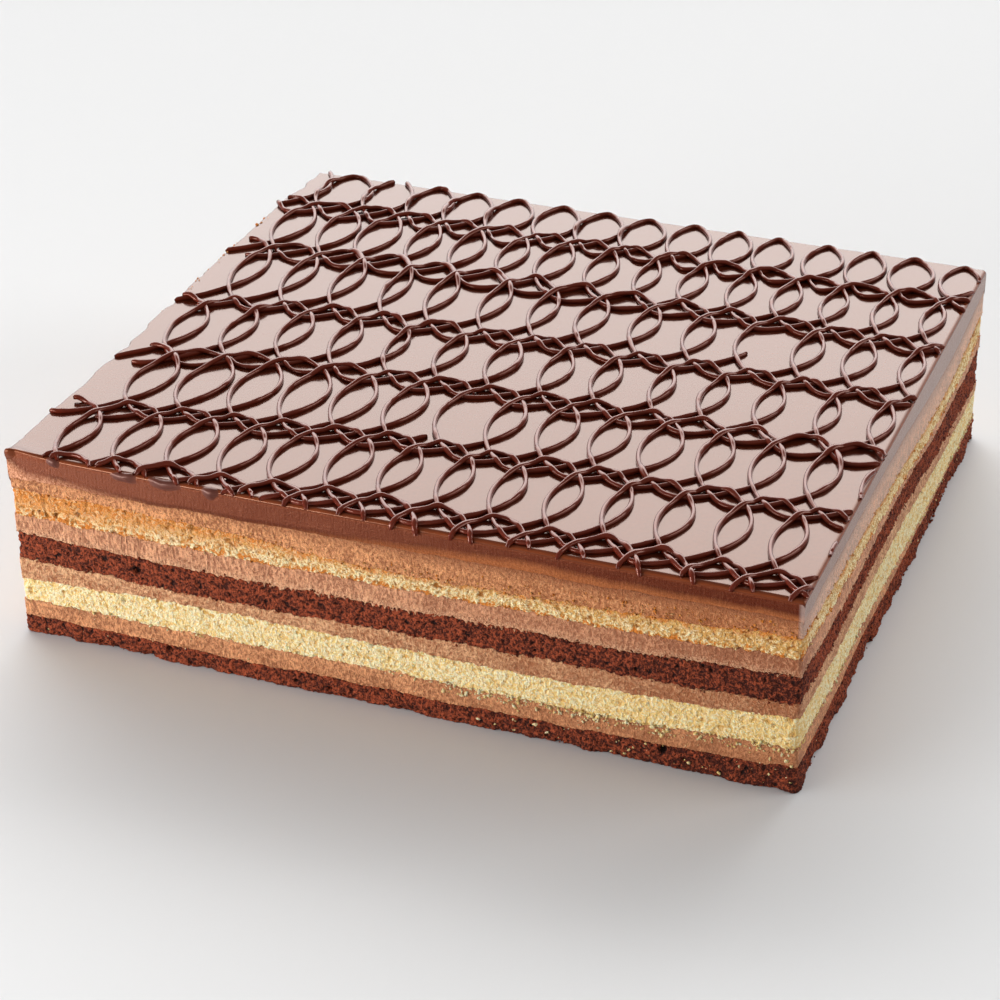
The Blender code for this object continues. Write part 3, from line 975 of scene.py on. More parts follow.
@dataclass
class GlazeSlab:
    """The glaze: a sheet that rolls over the cake's edge, and a wall with its foot tucked into the cream."""

    plan: StackPlan
    cell: float = 1.0 * MM
    rim: float = 1.2 * MM
    wall_rows: int = 14
    stand_out: float = 0.30 * MM
    overlap: float = 1.1 * MM
    tuck: float = 0.39 * MM
    tuck_height: float = 2.5 * MM
    lip_height: float = 1.5 * MM
    wave_reach: float = 24 * MM

    @property
    def half(self) -> Array:
        """Half the slab's width and depth."""
        return np.array([self.plan.width, self.plan.depth]) / 2 + self.stand_out

    def lines(self, half: float) -> Array:
        """Grid lines along one side: even in the middle, closer where the rim rolls over."""
        near = np.array(RIM_LINES) * self.rim
        count = round((2 * half - 2 * near[-1]) / self.cell)
        middle = np.linspace(near[-1] - half, half - near[-1], count)
        return np.concatenate([near[:-1] - half, middle, (half - near[:-1])[::-1]])

    def level(self, flat: Array) -> Array:
        """Height of the sheet away from its rim, with slow ripples and a lip at the front left corner."""
        place = with_third(flat)
        broad = smooth_noise(place, 46 * MM, Seed.RIPPLE)
        fine = smooth_noise(place, 17 * MM, Seed.RIPPLE_FINE)
        ripple = (0.10 * broad + 0.03 * fine - 0.1) * MM
        return self.plan.top + ripple + self.lip_height * self.lip_share(flat)

    def lip_share(self, flat: Array) -> Array:
        """1 at the front left corner, dying away along the front and quickly inwards."""
        from_left, from_front = (flat + self.half).T
        return np.exp(-((from_left / (11 * MM)) ** 2)) * np.exp(-np.clip(from_front, 0, 1) / (1.8 * MM))

    def wave(self, flat: Array) -> Array:
        """How far the left edge is nibbled inwards at each place, fading out across the sheet."""
        from_left, from_front = (flat + self.half).T
        place = np.column_stack([np.zeros(len(flat)), flat[:, 1], np.zeros(len(flat))])
        broad, fine = smooth_noise(place, 13 * MM, Seed.BITE), smooth_noise(place, 4.5 * MM, Seed.BITE_FINE)
        bites = 0.6 + 1.3 * broad + 0.9 * fine
        near = np.clip(1 - from_left / self.wave_reach, 0, 1) ** 2 * np.clip(from_front / (14 * MM), 0, 1)
        return np.clip(bites, 0, None) * near * MM

    def rolled(self, flat: Array) -> tuple[Array, Array]:
        """Points on the glaze and the directions facing away from it, for places measured along its surface.

        Formula: past the start of the rim a place moves along a quarter circle of the rim's radius, and past
        that straight down the wall.

        Args:
            flat: places in plan, some of them past the edge, shape (n, 2).

        Returns:
            Points and unit normals, both of shape (n, 3).
        """
        past = np.clip(np.abs(flat) - (self.half - self.rim), 0, None)
        turn = np.minimum(past / self.rim, math.pi / 2)
        drop = self.rim * (1 - np.cos(turn)) + np.clip(past - self.rim * math.pi / 2, 0, None)
        reach = np.where(past > 0, self.half - self.rim + self.rim * np.sin(turn), np.abs(flat))
        moved = np.sign(flat) * reach
        points = np.column_stack([moved, self.level(moved) - drop.sum(1)])
        points[:, 0] += self.wave(moved)
        normals = np.column_stack([np.sign(flat) * np.sin(turn), np.cos(turn).prod(1)])
        return points, normals / np.linalg.norm(normals, axis=1, keepdims=True)

    def sheet(self, flat: Array) -> Array:
        """Points of the upper side.

        Formula: the level, less the rim's radius, plus the square root of its square less the square of the
        distance into the rim, each way.
        """
        into = np.clip(np.abs(flat) - (self.half - self.rim), 0, self.rim)
        drop = (self.rim - np.sqrt(self.rim**2 - into**2)).sum(1)
        return np.column_stack([flat[:, 0] + self.wave(flat), flat[:, 1], self.level(flat) - drop])

    def build(self) -> bpy.types.Object:
        """Build the top grid, the wall under its border and the hidden underside."""
        x, y = np.meshgrid(self.lines(self.half[0]), self.lines(self.half[1]))
        flat = np.column_stack([x.ravel(), y.ravel()])
        top = self.sheet(flat)
        grid = np.arange(x.size).reshape(x.shape)
        border = grid_border(grid)
        rim, rim_flat = top[border], flat[border]
        lower = self.plan.seam(len(self.plan.order) - 2, rim[:, 0], rim[:, 1]) - self.overlap
        shares = np.linspace(1, 0, self.wall_rows + 1)[1:, None]
        heights = lower + (rim[:, 2] - lower) * shares
        points = stand_over(rim, heights).reshape(-1, 3)
        curl = self.tuck * np.clip(1 - (heights - lower) / self.tuck_height, 0, 1) ** 1.5
        out = bulge(points) * (1 - shares.repeat(len(rim), 1).ravel()) - curl.ravel()
        facing = self.facing(np.tile(rim_flat, (self.wall_rows, 1)))
        points = points + with_third(facing * out[:, None])
        rings = len(top) + np.arange(len(points)).reshape(self.wall_rows, len(rim))
        inner = points[rings[-1] - len(top)] * np.array([0.95, 0.95, 1.0])
        inner_ring = len(top) + len(points) + np.arange(len(rim))
        faces = [grid_faces(grid), ring_faces(rings[0], border)]
        faces += [ring_faces(rings[row + 1], rings[row]) for row in range(self.wall_rows - 1)]
        faces += [ring_faces(inner_ring, rings[-1]), inner_ring[None, ::-1]]
        vertices = np.concatenate([top, points, inner])
        piece = make_piece("glaze_poured", vertices, faces, self.looks(vertices))
        dress(piece, GLAZE.material(), "glaze", "glaze")
        of_wall = np.concatenate([np.full(len(band), number > 0) for number, band in enumerate(faces)])
        add_finish(piece, GLAZE_CUT.material(), of_wall)
        return piece

    def facing(self, flat: Array) -> Array:
        """Unit directions facing out of the nearest side."""
        nearness = np.abs(flat) - self.half
        direction = np.sign(flat) * (nearness > nearness.max(1, keepdims=True) - 1e-7)
        return direction / np.linalg.norm(direction, axis=1, keepdims=True)

    def looks(self, points: Array) -> dict:
        """Where the glaze is thin, along the rim and its lip, and how high each point is on the side."""
        drop = self.plan.top - points[:, 2]
        inside = (self.half - np.abs(points[:, :2])).min(1)
        thin = np.clip(1 - np.abs(drop - 0.55 * self.rim) / (0.6 * self.rim), 0, 1) * (inside < self.rim)
        corner = np.clip(1.4 * self.lip_share(points[:, :2]), 0, 1) * np.clip(1 - drop / (3 * MM), 0, 1)
        foot = self.plan.seam(len(self.plan.order) - 2, points[:, 0], points[:, 1])
        rise = np.clip((points[:, 2] - foot) / (self.plan.top - self.rim - foot), 0, 1)
        return {"edge": np.maximum(thin, corner), "rise": rise}


# Piping

@dataclass(frozen=True)
class RowPlan:
    """One row of loops, in millimetres from the cake's back left corner.

    half_depth and lens give a size at the left end and one at the right; lens is the width, in pitches, of
    the eye between one loop and the next but one; near none, the loops stand apart. sags are how far the row
    strays forwards at five even places, gaps are stretches of the strand, counted in loops, where it broke,
    and bare is how far from the left end it leaves the front rim free.
    """

    middle: float
    pitch: float
    first_lens: float
    half_depth: tuple[float, float]
    lens: tuple[float, float]
    sags: tuple[float, ...]
    gaps: tuple[tuple[float, float], ...] = ()
    bare: float = 0.0


ROWS = (
    RowPlan(17.4, 15.45, -5.1, (18.1, 15.8), (0.12, -0.26), (0, 0, 0, 0, 0)),
    RowPlan(46.5, 15.75, 12.0, (24.2, 20.4), (0.70, 0.42), (1.8, 0.2, 0, 0, 0.2)),
    RowPlan(81.2, 17.05, 13.2, (26.0, 22.4), (0.42, 0.46), (4.6, 0.3, 0, 0, 0.3), ((8.73, 8.87),)),
    RowPlan(118.4, 17.15, 12.6, (23.4, 22.3), (0.45, 0.36), (12, 2.5, 0.3, 0, 0.6)),
    RowPlan(153.6, 15.95, 19.0, (23.3, 22.6), (0.70, 0.52), (14, 5.2, 0.8, 0, 0.5), ((4.66, 4.86),)),
    RowPlan(190.6, 16.3, 15.6, (22.5, 22.7), (0.60, 0.46), (14, 6, 1.2, 0, 0.5)),
    RowPlan(226.8, 16.3, 12.0, (21.3, 21.3), (0.55, 0.50), (8, 4, -2, -0.5, 0.3), bare=13.5),
)


@dataclass
class Piping:
    """Rows of loops piped from left to right, back row first, each strand lying over those before it."""

    glaze: GlazeSlab
    second_wave: float = 0.05
    third_wave: float = 0.074
    shear: float = 0.05
    hook: float = 0.12
    half_width: float = 0.70 * MM
    height: float = 1.35 * MM
    settle: float = 0.72
    samples: int = 120
    sides: int = 12
    flatness: float = 1.05
    rim_strip: float = 7 * MM
    before_first: tuple[tuple[float, float], ...] = ((-2.47, -2.03), (-0.97, -0.53))

    def path(self, number: int, row: RowPlan) -> tuple[Array, Array]:
        """Points along a row before it is cut at the cake's edges.

        Formula: with t a full turn for each loop, x moves right by one pitch a loop, less the pitch times
        first sin t + second sin 2t - third sin 3t, and y swings as depth cos t. The first wave is
        (lens + 1.5) / 2 - third, so that the eyes come out as wide as the row says. A shear times cos t leans
        the loops, a hook times (1 + cos 2t) / 2 draws their tips back, and slow noise is added to all.

        Args:
            number: the row's number, from 0 at the back.
            row: its sizes.

        Returns:
            Positions in plan, shape (n, 2), and the loops counted at each, shape (n,).
        """
        plan = self.glaze.plan
        pitch = row.pitch * MM
        loops = int(plan.width / pitch) + 6
        turns = np.arange(-3 * self.samples, (loops - 3) * self.samples) / self.samples
        place = np.column_stack([turns, np.full(len(turns), number * 7.3), np.zeros(len(turns))])
        start = (row.first_lens + row.pitch / 2) * MM
        across = np.clip((start + pitch * turns) / plan.width, 0, 1)
        lens = row.lens[0] + (row.lens[1] - row.lens[0]) * across
        lens += 0.15 * smooth_noise(place, 0.8, Seed.LOOP_LENS)
        depth = row.half_depth[0] + (row.half_depth[1] - row.half_depth[0]) * across
        depth *= (1 + 0.05 * smooth_noise(place, 0.9, Seed.LOOP_DEPTH)) * MM
        turn = FULL_TURN * turns
        swing = ((lens + 1.5) / 2 - self.third_wave) * np.sin(turn) + self.second_wave * np.sin(2 * turn)
        swing += self.hook * (1 + np.cos(2 * turn)) / 2 - self.third_wave * np.sin(3 * turn)
        stray = 0.08 * smooth_noise(place, 1.1, Seed.LOOP_X)
        x = start + pitch * (turns - swing + self.shear * np.cos(turn) + stray)
        stations = np.clip(x / plan.width, 0, 1) * (len(row.sags) - 1)
        station = np.minimum(stations.astype(int), len(row.sags) - 2)
        part = stations - station
        part = part * part * (3 - 2 * part)
        sags = np.array(row.sags)
        sag = sags[station] * (1 - part) + sags[station + 1] * part
        sag += 0.8 * smooth_noise(place, 1.3, Seed.LOOP_SAG)
        y = plan.depth / 2 - (row.middle + sag) * MM + depth * np.cos(turn)
        return np.column_stack([x - plan.width / 2, y]), turns

    def runs(self, path: Array, turns: Array, row: RowPlan) -> list[Array]:
        """Cut a row where it leaves the cake or broke, and give the stretches that stay.

        They hang a little over the rim at the front. The half loops before the first eye are left out.
        """
        half_width, half_depth = self.glaze.half
        place = with_third(path)
        rightwards = np.clip((path[:, 0] + 85 * MM) / (60 * MM), 0.1, 1)
        hang = (0.9 + 0.6 * smooth_noise(place, 5 * MM, Seed.HANG)) * rightwards
        kept = (np.abs(path[:, 0]) < half_width + 0.1 * MM) & (path[:, 1] > -half_depth - hang * MM)
        kept &= path[:, 1] < half_depth - 0.3 * MM
        kept &= (path[:, 0] > row.bare * MM - half_width) | (path[:, 1] > self.rim_strip - half_depth)
        for first, last in (*(self.before_first if row.lens[0] > 0.3 else ()), *row.gaps):
            kept &= (turns < first) | (turns > last)
        edges = np.flatnonzero(np.diff(kept.astype(int)))
        pieces = np.split(np.arange(len(path)), edges + 1)
        return [part for part in pieces if kept[part[0]] and len(part) > 4]

    def lifts(self, paths: list[Array]) -> list[Array]:
        """How high each strand point rides over the strands laid before it.

        Formula: over an earlier strand, its lift plus a share of the strand's height times the square root of
        1 - (distance / reach)^2; the largest over all earlier points, settled in a few passes and then
        smoothed along the strand.

        Args:
            paths: the rows' points in plan, in the order they were piped.

        Returns:
            The lift of each point, in metres, one array for each row.
        """
        reach = 2.2 * self.half_width
        share = self.settle * self.height
        lifted: list[Array] = []
        for number, path in enumerate(paths):
            lift = np.zeros(len(path))
            own = self.closeness(path, path, reach)
            order = np.arange(len(path))
            own[(order[None, :] > order[:, None] - self.samples // 8)] = -1.0
            before = self.closeness(path, paths[number - 1], reach) if number else None
            for _ in range(3):
                lift = np.maximum(lift, self.raised(own, lift, share))
                if before is not None:
                    lift = np.maximum(lift, self.raised(before, lifted[-1], share))
            kernel = np.exp(-0.5 * (np.arange(-5, 6) / 1.6) ** 2)
            lifted.append(np.convolve(np.pad(lift, 5, mode="edge"), kernel / kernel.sum(), mode="valid"))
        return lifted

    @staticmethod
    def closeness(path: Array, other: Array, reach: float) -> Array:
        """Square root of 1 - (distance / reach)^2 for each pair of points, and -1 beyond the reach."""
        square = ((path[:, None, :].astype(np.float32) - other[None, :, :].astype(np.float32)) ** 2).sum(-1)
        inside = 1 - square / reach**2
        return np.where(inside > 0, np.sqrt(np.maximum(inside, 0)), -1.0)

    @staticmethod
    def raised(closeness: Array, lift: Array, share: float) -> Array:
        """The highest that any near strand pushes each point."""
        return np.where(closeness > 0, (lift[None, :].astype(np.float32) + share) * closeness, 0.0).max(1)

    def strand(self, centre: Array, lift: Array, seed: int) -> tuple[Array, list]:
        """Sweep the strand's section along one run.

        Formula: the section goes round by an angle, cos of it across and a power of sin of it upwards, a
        little more pointed on top than an ellipse.

        Args:
            centre: positions in plan, shape (n, 2).
            lift: height of each above the glaze.
            seed: picks its unevenness.

        Returns:
            Vertices and faces, with rounded ends.
        """
        count = len(centre)
        ground, facing = self.glaze.rolled(centre)
        place = with_third(centre, seed * 0.1)
        blobs = np.clip(smooth_noise(place, 10 * MM, Seed.STRAND_BLOB) - 0.60, 0, 1)
        broad, fine = smooth_noise(place, 7 * MM, Seed.STRAND), smooth_noise(place, 2 * MM, Seed.STRAND_FINE)
        uneven = 1 + 0.12 * broad + 0.07 * fine + 0.9 * blobs
        merged = 1 + 0.30 * np.clip(lift / (self.settle * self.height), 0, 1)
        ends = np.minimum(np.arange(count), np.arange(count)[::-1])
        taper = np.sqrt(np.clip(1 - (1 - (ends + 0.4) / 1.5).clip(0, 1) ** 2, 0.05, 1))
        wide, tall = self.half_width * uneven * merged * taper, self.height * uneven * taper
        points = ground + facing * lift[:, None]
        along = np.gradient(points, axis=0)
        flow = np.gradient(centre, axis=0)
        side = np.column_stack([-flow[:, 1], flow[:, 0], np.zeros(count)])
        side /= np.linalg.norm(side, axis=1, keepdims=True)
        rise = np.cross(along, side)
        rise /= np.linalg.norm(rise, axis=1, keepdims=True)
        angle = FULL_TURN * np.arange(self.sides) / self.sides
        lateral = np.cos(angle)[None, :] * wide[:, None]
        curve = np.sign(np.sin(angle)) * np.abs(np.sin(angle)) ** self.flatness
        upright = (0.40 + 0.60 * curve)[None, :] * tall[:, None]
        rings = points[:, None] + side[:, None] * lateral[..., None] + rise[:, None] * upright[..., None]
        indices = np.arange(count * self.sides).reshape(count, self.sides)
        ahead = np.roll(indices, -1, axis=1)
        tube = np.stack([ahead[:-1], ahead[1:], indices[1:], indices[:-1]], axis=-1).reshape(-1, 4)
        return rings.reshape(-1, 3), [tube, indices[:1], indices[-1:, ::-1]]

    def build(self) -> list[bpy.types.Object]:
        """Pipe all the rows, each as one piece in its solid's place."""
        paths, turns = zip(*(self.path(number, row) for number, row in enumerate(ROWS)))
        lifts = self.lifts(paths)
        pieces = []
        for number, row in enumerate(ROWS):
            runs = self.runs(paths[number], turns[number], row)
            vertices, faces = join_parts(
                self.strand(paths[number][run], lifts[number][run], number) for run in runs)
            attributes = {"edge": np.zeros(len(vertices))}
            piece = make_piece(f"piping_{number + 1}_strands", vertices, faces, attributes)
            pieces.append(dress(piece, PIPED.material(), "piping", f"piping_row_{number + 1}"))
        return pieces


@dataclass
class Smears:
    """Soft swellings over the rim near the left end, where the front row melted, and the corner's nub."""

    glaze: GlazeSlab
    from_left: tuple[float, ...] = (0.9, 15.5, 38.5, 51.0, 66.0)
    half_widths: tuple[float, ...] = (2.4, 2.8, 5.4, 6.6, 4.0)
    reach: float = 2.5 * MM
    middle: float = 0.9 * MM
    thickness: float = 0.95 * MM
    sunk: float = 0.12 * MM
    rings: int = 14
    spokes: int = 32

    def swelling(self, middle: float, half_width: float, seed: int) -> tuple[Array, list]:
        """Points and faces of one swelling, closed by a ring inside the glaze.

        Formula: at r from the middle, as a share of its reach, it stands above the glaze by the thickness
        times (1 - r^2)^2, less the depth that it is sunk; its reach wavers with noise.
        """
        share = np.append(np.linspace(0.02, 1.0, self.rings - 1), 0.9)[:, None]
        turn = FULL_TURN * np.arange(self.spokes)[None, :] / self.spokes
        disc = np.stack([np.cos(turn) + 0 * share, np.sin(turn) + 0 * share, 0 * turn + 0 * share], axis=-1)
        noise = smooth_noise(disc.reshape(-1, 3) + 9.0 * seed, 0.9, Seed.SWELLING)
        waver = 1 + 0.35 * noise.reshape(share.shape[0], -1)
        along = middle * MM - self.glaze.half[0] + disc[..., 0] * share * waver * half_width * MM
        over = -self.glaze.half[1] - self.middle + disc[..., 1] * share * waver * self.reach
        height = self.thickness * (1 - np.minimum(share, 1) ** 2) ** 2 - self.sunk
        height[-1] = -0.6 * MM
        ground, facing = self.glaze.rolled(np.column_stack([along.ravel(), over.ravel()]))
        points = ground + facing * np.repeat(height, self.spokes, axis=1).reshape(-1, 1)
        indices = np.arange(len(points)).reshape(self.rings, self.spokes)
        faces = [ring_faces(indices[row + 1], indices[row]) for row in range(self.rings - 1)]
        return points, [*faces, indices[:1], indices[-1:, ::-1]]

    def build(self) -> bpy.types.Object:
        """Join the swellings into one piece; the first, the corner's nub, is glaze and the rest smeared."""
        vertices, faces = join_parts(
            self.swelling(middle, half_width, number)
            for number, (middle, half_width) in enumerate(zip(self.from_left, self.half_widths)))
        outwards = np.repeat(np.linspace(-0.9, 1.2, self.rings).clip(0, 1), self.spokes)
        edge = np.tile(outwards, len(self.from_left))
        edge[: len(outwards)] = 0.5
        piece = make_piece("piping_smears", vertices, faces, {"edge": edge})
        dress(piece, SMEARED.material(), "piping")
        of_nub = np.concatenate([np.full(len(band), band.max() < len(outwards)) for band in faces])
        add_finish(piece, GLAZE.material(), of_nub)
        return piece


# Crumbs

class Side(Enum):
    """Where crumbs lie."""

    ROUND = 0
    FRONT = 1
    RIGHT = 2
    TOP_LEFT = 3


@dataclass(frozen=True)
class CrumbBatch:
    """Crumbs of one range of sizes in one place, in millimetres.

    They lie from start to end along their side, and from low to high above the seam on top of the layer
    number given, or above the table where it is -1. On top, low and high count from the left edge.
    """

    count: int
    side: Side
    seam: int
    low: float
    high: float
    smallest: float
    largest: float
    start: float = -200.0
    end: float = 200.0
    rise: float = 0.5


@dataclass
class Crumbs:
    """Loose crumbs of one sponge, pressed on the cut sides, caught along the seams and left on the rim."""

    name: str
    finish: SpongeFinish
    slot_name: str
    plan: StackPlan
    outline: Outline
    glaze: GlazeSlab
    seed: int
    batches: tuple[CrumbBatch, ...] = ()

    @staticmethod
    def ball() -> tuple[Array, Array]:
        """Vertices and faces of a small round ball of radius 1: a cube with each side in four, pushed out."""
        mesh = bmesh.new()
        bmesh.ops.create_cube(mesh, size=2.0)
        bmesh.ops.subdivide_edges(mesh, edges=mesh.edges[:], cuts=1, use_grid_fill=True)
        mesh.verts.index_update()
        vertices = np.array([tuple(vertex.co.normalized()) for vertex in mesh.verts])
        faces = np.array([[vertex.index for vertex in face.verts] for face in mesh.faces])
        mesh.free()
        return vertices, faces

    def spots(self, batch: CrumbBatch, chance: np.random.Generator) -> Array:
        """Pick the crumbs' middles, shape (count, 3)."""
        if batch.side is Side.TOP_LEFT:
            y = chance.uniform(batch.start, batch.end, batch.count) * MM
            x = chance.uniform(batch.low, batch.high, batch.count) * MM - self.glaze.half[0]
            return self.glaze.rolled(np.column_stack([x, y]))[0]
        path, normal = self.outline.walk(40)
        near = np.ones(len(path), bool)
        if batch.side is not Side.ROUND:
            front = batch.side is Side.FRONT
            facing, along = (-normal[:, 1], path[:, 0]) if front else (normal[:, 0], path[:, 1])
            near = (facing > 0.9) & (along > batch.start * MM) & (along < batch.end * MM)
        chosen = chance.choice(np.flatnonzero(near), batch.count)
        base = self.plan.seam(batch.seam, path[chosen, 0], path[chosen, 1])
        height = base + chance.uniform(batch.low, batch.high, batch.count) * MM
        flat = np.column_stack([path[chosen], np.maximum(height, 0.2 * MM)])
        flat[:, :2] += normal[chosen] * (0.30 * MM + bulge(flat))[:, None]
        return flat

    def lumps(self, spots: Array, sizes: Array, chance: np.random.Generator) -> Array:
        """Uneven balls round the spots.

        Formula: the unit ball's points, stretched along each axis by 0.45 to 1, turned at random and moved in
        or out by up to 60% of their radius by noise, times the crumb's radius.

        Args:
            spots: the crumbs' middles, shape (n, 3).
            sizes: their radii.
            chance: the source of random numbers.

        Returns:
            Vertices, shape (n, points of the ball, 3).
        """
        ball, _ = self.ball()
        turns, _ = np.linalg.qr(chance.normal(size=(len(spots), 3, 3)))
        stretched = ball[None] * chance.uniform(0.45, 1.0, (len(spots), 1, 3))
        apart = 40 * np.arange(len(spots))[:, None, None]
        noise = smooth_noise((ball[None] * 1.3 + apart).reshape(-1, 3), 1.0, Seed.CRUMB)
        shaped = stretched * (1 + 0.6 * noise.reshape(len(spots), -1, 1))
        upright = turns * np.sign(np.linalg.det(turns))[:, None, None]
        lumps = spots[:, None, :] + np.einsum("nij,npj->npi", upright, shaped) * sizes[:, None, None]
        lumps[..., 2] = np.maximum(lumps[..., 2], 0.0)
        return lumps

    def build(self) -> bpy.types.Object:
        """Join all the crumbs into one piece."""
        chance = np.random.default_rng(self.seed)
        ball, faces_of_ball = self.ball()
        blocks, rises = [], []
        for batch in self.batches:
            spots = self.spots(batch, chance)
            shares = chance.uniform(0, 1, batch.count) ** 3.5
            radii = (batch.smallest + (batch.largest - batch.smallest) * shares) * MM / 2
            blocks.append(self.lumps(spots, radii, chance).reshape(-1, 3))
            rises.append(np.full(batch.count * len(ball), batch.rise))
        vertices = np.concatenate(blocks)
        count = len(vertices) // len(ball)
        first = len(ball) * np.arange(count)[:, None, None]
        faces = (faces_of_ball[None] + first).reshape(-1, faces_of_ball.shape[1])
        attributes = {"rise": np.concatenate(rises), "gap": np.zeros(len(vertices))}
        piece = make_piece(self.name, vertices, [faces], attributes)
        return dress(piece, self.finish.material(), self.slot_name)


VANILLA_BATCHES = (
    CrumbBatch(90, Side.FRONT, -1, 0.8, 13.0, 0.4, 2.0, start=25, end=119, rise=0.7),
    CrumbBatch(240, Side.FRONT, 1, -2.8, 0.3, 0.5, 2.0, start=15, end=119, rise=0.7),
    CrumbBatch(70, Side.FRONT, -1, 1.0, 12.0, 0.25, 0.8, start=-119, end=119, rise=0.7),
    CrumbBatch(30, Side.RIGHT, -1, 2.0, 11.0, 0.3, 0.9),
    CrumbBatch(620, Side.ROUND, 1, -0.9, 0.5, 0.35, 1.2),
    CrumbBatch(240, Side.ROUND, 2, -0.4, 0.4, 0.3, 0.8, rise=1.0),
)
GOLDEN_BATCHES = (
    CrumbBatch(300, Side.ROUND, 5, -0.4, 0.5, 0.3, 0.9, rise=0.1),
    CrumbBatch(700, Side.ROUND, 6, -0.6, 1.8, 0.35, 1.2, rise=0.95),
    CrumbBatch(160, Side.FRONT, 6, -0.2, 4.5, 0.35, 1.3, start=0, end=119, rise=1.2),
    CrumbBatch(30, Side.TOP_LEFT, 0, 0.0, 2.0, 0.4, 1.5, start=-20, end=90, rise=1.2),
)
COCOA_BATCHES = (
    CrumbBatch(350, Side.ROUND, 0, -0.4, 0.6, 0.3, 0.9),
    CrumbBatch(350, Side.ROUND, 3, -0.8, 0.4, 0.3, 1.0),
    CrumbBatch(420, Side.ROUND, 4, -0.3, 1.0, 0.3, 1.0),
    CrumbBatch(300, Side.ROUND, -1, 0.0, 1.5, 0.5, 1.8),
)
CRUMBS = (
    ("crumbs_vanilla", PALE, "vanilla_sponge", 11, VANILLA_BATCHES),
    ("crumbs_golden", GOLDEN, "browned_sponge", 12, GOLDEN_BATCHES),
    ("crumbs_cocoa", COCOA, "cocoa_sponge", 13, COCOA_BATCHES),
)


# Studio

@dataclass(frozen=True)
class Studio:
    """A white table, bright white surroundings behind the cake, two soft fills and the camera."""

    azimuth: float = 21.593
    elevation: float = 30.062
    distance: float = 0.9025
    target: tuple = (-0.01402, 0.01352, 0.0)
    lens: float = 99.93
    roll: float = -0.8225
    wall_azimuth: float = 205.0
    wall_brightness: float = 7.7

    def direction(self, azimuth: float, elevation: float) -> Vector:
        """Unit vector towards a place round the cake; azimuth 0 is in front, 90 is at the right."""
        turn, tilt = math.radians(azimuth), math.radians(elevation)
        return Vector((math.sin(turn) * math.cos(tilt), -math.cos(turn) * math.cos(tilt), math.sin(tilt)))

    def camera(self) -> None:
        """Put up the camera."""
        data = bpy.data.cameras.new("camera")
        data.lens = self.lens
        data.clip_start = 0.05
        camera = put_in_scene("camera", data)
        back = self.direction(self.azimuth, self.elevation)
        turn, roll = math.radians(self.azimuth), math.radians(self.roll)
        right = Vector((math.cos(turn), math.sin(turn), 0.0))
        above = back.cross(right)
        tilted_right = right * math.cos(roll) + above * math.sin(roll)
        tilted_above = above * math.cos(roll) - right * math.sin(roll)
        place = Matrix((tilted_right, tilted_above, back)).transposed().to_4x4()
        place.translation = Vector(self.target) + back * self.distance
        camera.matrix_world = place
        bpy.context.scene.camera = camera

    def light(self, name: str, place: Vector, aim: Vector, size: tuple, brightness: float) -> None:
        """Put up one soft light.

        Args:
            name: its name.
            place: where its middle is.
            aim: the point that it faces.
            size: its width and height in metres.
            brightness: its radiance; the power is that times pi times its area.
        """
        data = bpy.data.lights.new(name, "AREA")
        data.shape = "RECTANGLE"
        data.size, data.size_y = size
        data.energy = brightness * math.pi * size[0] * size[1]
        light = put_in_scene(name, data)
        light.location = place
        light.rotation_euler = (place - aim).to_track_quat("Z", "Y").to_euler()

    def table(self) -> None:
        """Lay a wide white table."""
        reach = 6.0
        corners = np.array([[-reach, -reach, 0], [reach, -reach, 0], [reach, reach, 0], [-reach, reach, 0]])
        table = make_piece("table", corners - np.array([0, 0, 0.0002]), [np.array([[0, 1, 2, 3]])])
        board = NodeBoard(bpy.data.materials.new("white_table"))
        table.data.materials.append(board.finish((0.72, 0.72, 0.72), 0.75, Specular_IOR_Level=0.2))

    def world(self) -> None:
        """White surroundings, with a broad bright wall behind that is brightest half way up.

        Formula: strength is a small share that grows from front to back, plus a share for how nearly a
        direction points at the wall's middle, times a share for its height, times a share that ends it at its
        top.
        """
        board = NodeBoard(bpy.data.worlds.new("surroundings"))
        direction = board.add("ShaderNodeTexCoord").outputs["Generated"]
        parts = board.add("ShaderNodeSeparateXYZ", inputs={0: direction}).outputs
        wall = {0: direction, 1: self.direction(self.wall_azimuth, 0)}
        towards = board.add("ShaderNodeVectorMath", {"operation": "DOT_PRODUCT"}, wall).outputs["Value"]
        ambient = board.span(parts["Y"], -0.8, 0.5, 0.345, 0.43)
        width = board.span(towards, 0.42, 0.85, smooth=True)
        height = board.span(parts["Z"], 0.16, 0.60, 2.0, self.wall_brightness)
        end = board.span(parts["Z"], 0.60, 0.74, 1.0, 0.0, smooth=True)
        strength = board.math("ADD", board.product(width, end, height), ambient)
        background = board.tree.nodes["Background"]
        board.feed(background.inputs["Strength"], strength)
        board.feed(background.inputs["Color"], (1.0, 1.0, 1.0, 1.0))
        bpy.context.scene.world = board.owner

    def build(self) -> None:
        """Put up everything."""
        self.camera()
        self.table()
        self.world()
        middle = Vector((0.0, 0.0, 0.03))
        front_left = Vector((-0.05, -0.108, 0.03))
        self.light("soft_right", self.direction(110, 20) * 3.2, middle, (1.9, 1.3), 5.2)
        self.light("fill_left", Vector((-0.70, -0.74, 0.11)), front_left, (0.92, 0.24), 18.0)
        bpy.context.scene.view_settings.view_transform = "Standard"
        bpy.context.scene.view_settings.look = "None"


def triangles(piece: bpy.types.Object) -> int:
    """Number of triangles in a piece's mesh."""
    return len(piece.data.loops) - 2 * len(piece.data.polygons)


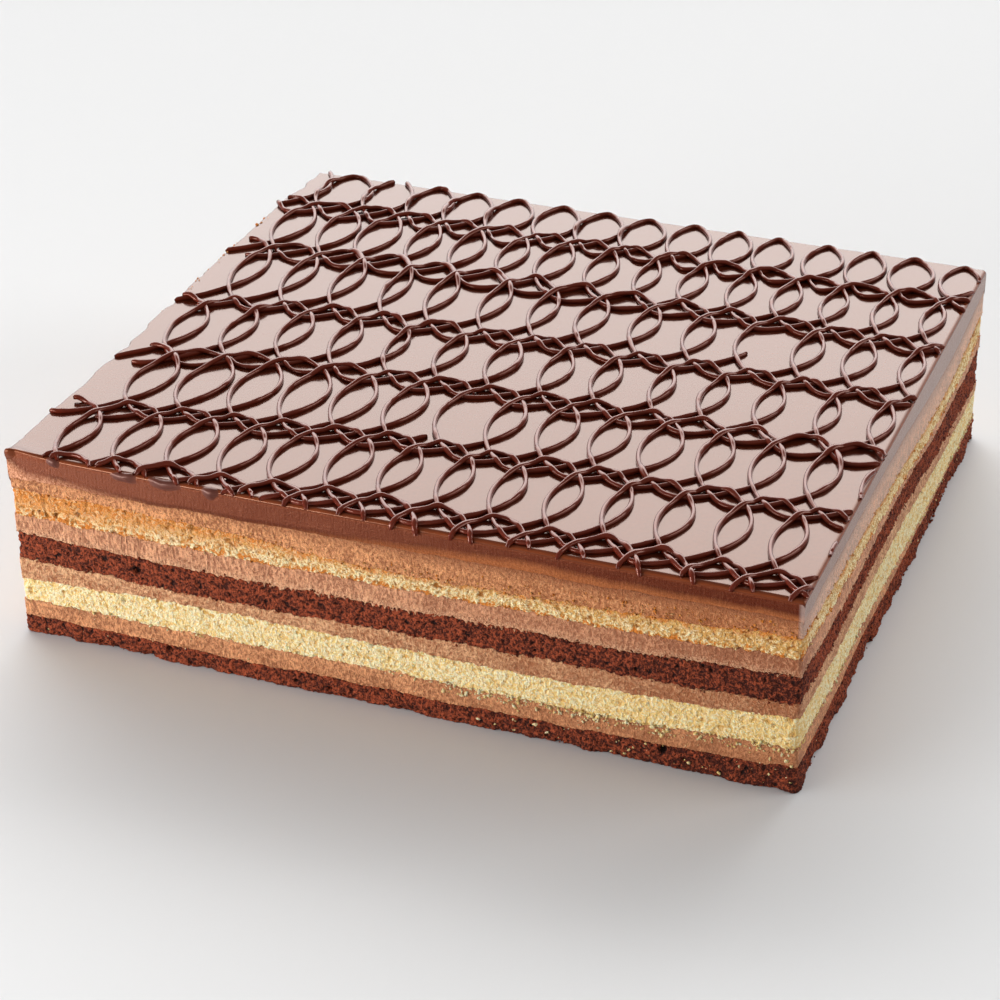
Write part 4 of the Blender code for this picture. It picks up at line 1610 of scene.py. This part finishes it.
def main() -> None:
    """Build the cake from the bottom up, then its crumbs and the studio."""
    logging.basicConfig(level=logging.INFO, format="%(name)s: %(message)s")
    plan = StackPlan([
        "sponge_cocoa_base", "cream_1", "sponge_vanilla_lower", "cream_2", "sponge_cocoa_upper", "cream_3",
        "sponge_vanilla_upper", "cream_4", "glaze",
    ])
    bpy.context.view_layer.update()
    outline = Outline(plan.width, plan.depth)
    shared = {"plan": plan, "outline": outline}
    cream = {"slot_name": "coffee_cream", "stand_out": 0.25 * MM, **shared}
    layers = (
        SpongeLayer(0, 20, 38, COCOA, "cocoa_sponge", seed=100, foot=0.8, stand_out=0.3 * MM, **shared),
        CreamLayer(1, 18, 34, CREAM_FINE, seed=200, crumble=(0.25 * MM, 0.40 * MM), **cream),
        SpongeLayer(2, 26, 38, PALE, "vanilla_sponge", seed=300, rough=0.75, holes=0.03, **shared),
        CreamLayer(3, 20, 34, CREAM_ROUGH, seed=400, crumble=(0.35 * MM, 0.30 * MM), grain=0.12, flake=1.0,
                   **cream),
        SpongeLayer(4, 26, 38, COCOA, "cocoa_sponge", seed=500, **shared),
        CreamLayer(5, 20, 40, CREAM_DRAWN, seed=600, crumble=(0.20 * MM, 0.30 * MM), grain=0.09, streak=0.05,
                   drag=Drag.TEETH, curl=0.3 * MM, nicks=(-98, -79, -31), **cream),
        SpongeLayer(6, 26, 38, GOLDEN, "browned_sponge", seed=700, rough=0.8, holes=0.03, **shared),
        CreamLayer(7, 20, 34, CREAM_TOP, seed=800, crumble=(0.50 * MM, 0.0), grain=0.09, **cream),
    )
    pieces = [layer.build() for layer in layers]
    glaze = GlazeSlab(plan)
    pieces.append(glaze.build())
    pieces += Piping(glaze).build()
    pieces.append(Smears(glaze).build())
    for name, finish, slot_name, seed, batches in CRUMBS:
        pieces.append(Crumbs(name, finish, slot_name, plan, outline, glaze, seed, batches).build())
    for piece in pieces:
        LOG.info("%s: %d triangles", piece.name, triangles(piece))
    LOG.info("all pieces: %d triangles", sum(triangles(piece) for piece in pieces))
    Studio().build()


if __name__ == "__main__":
    main()
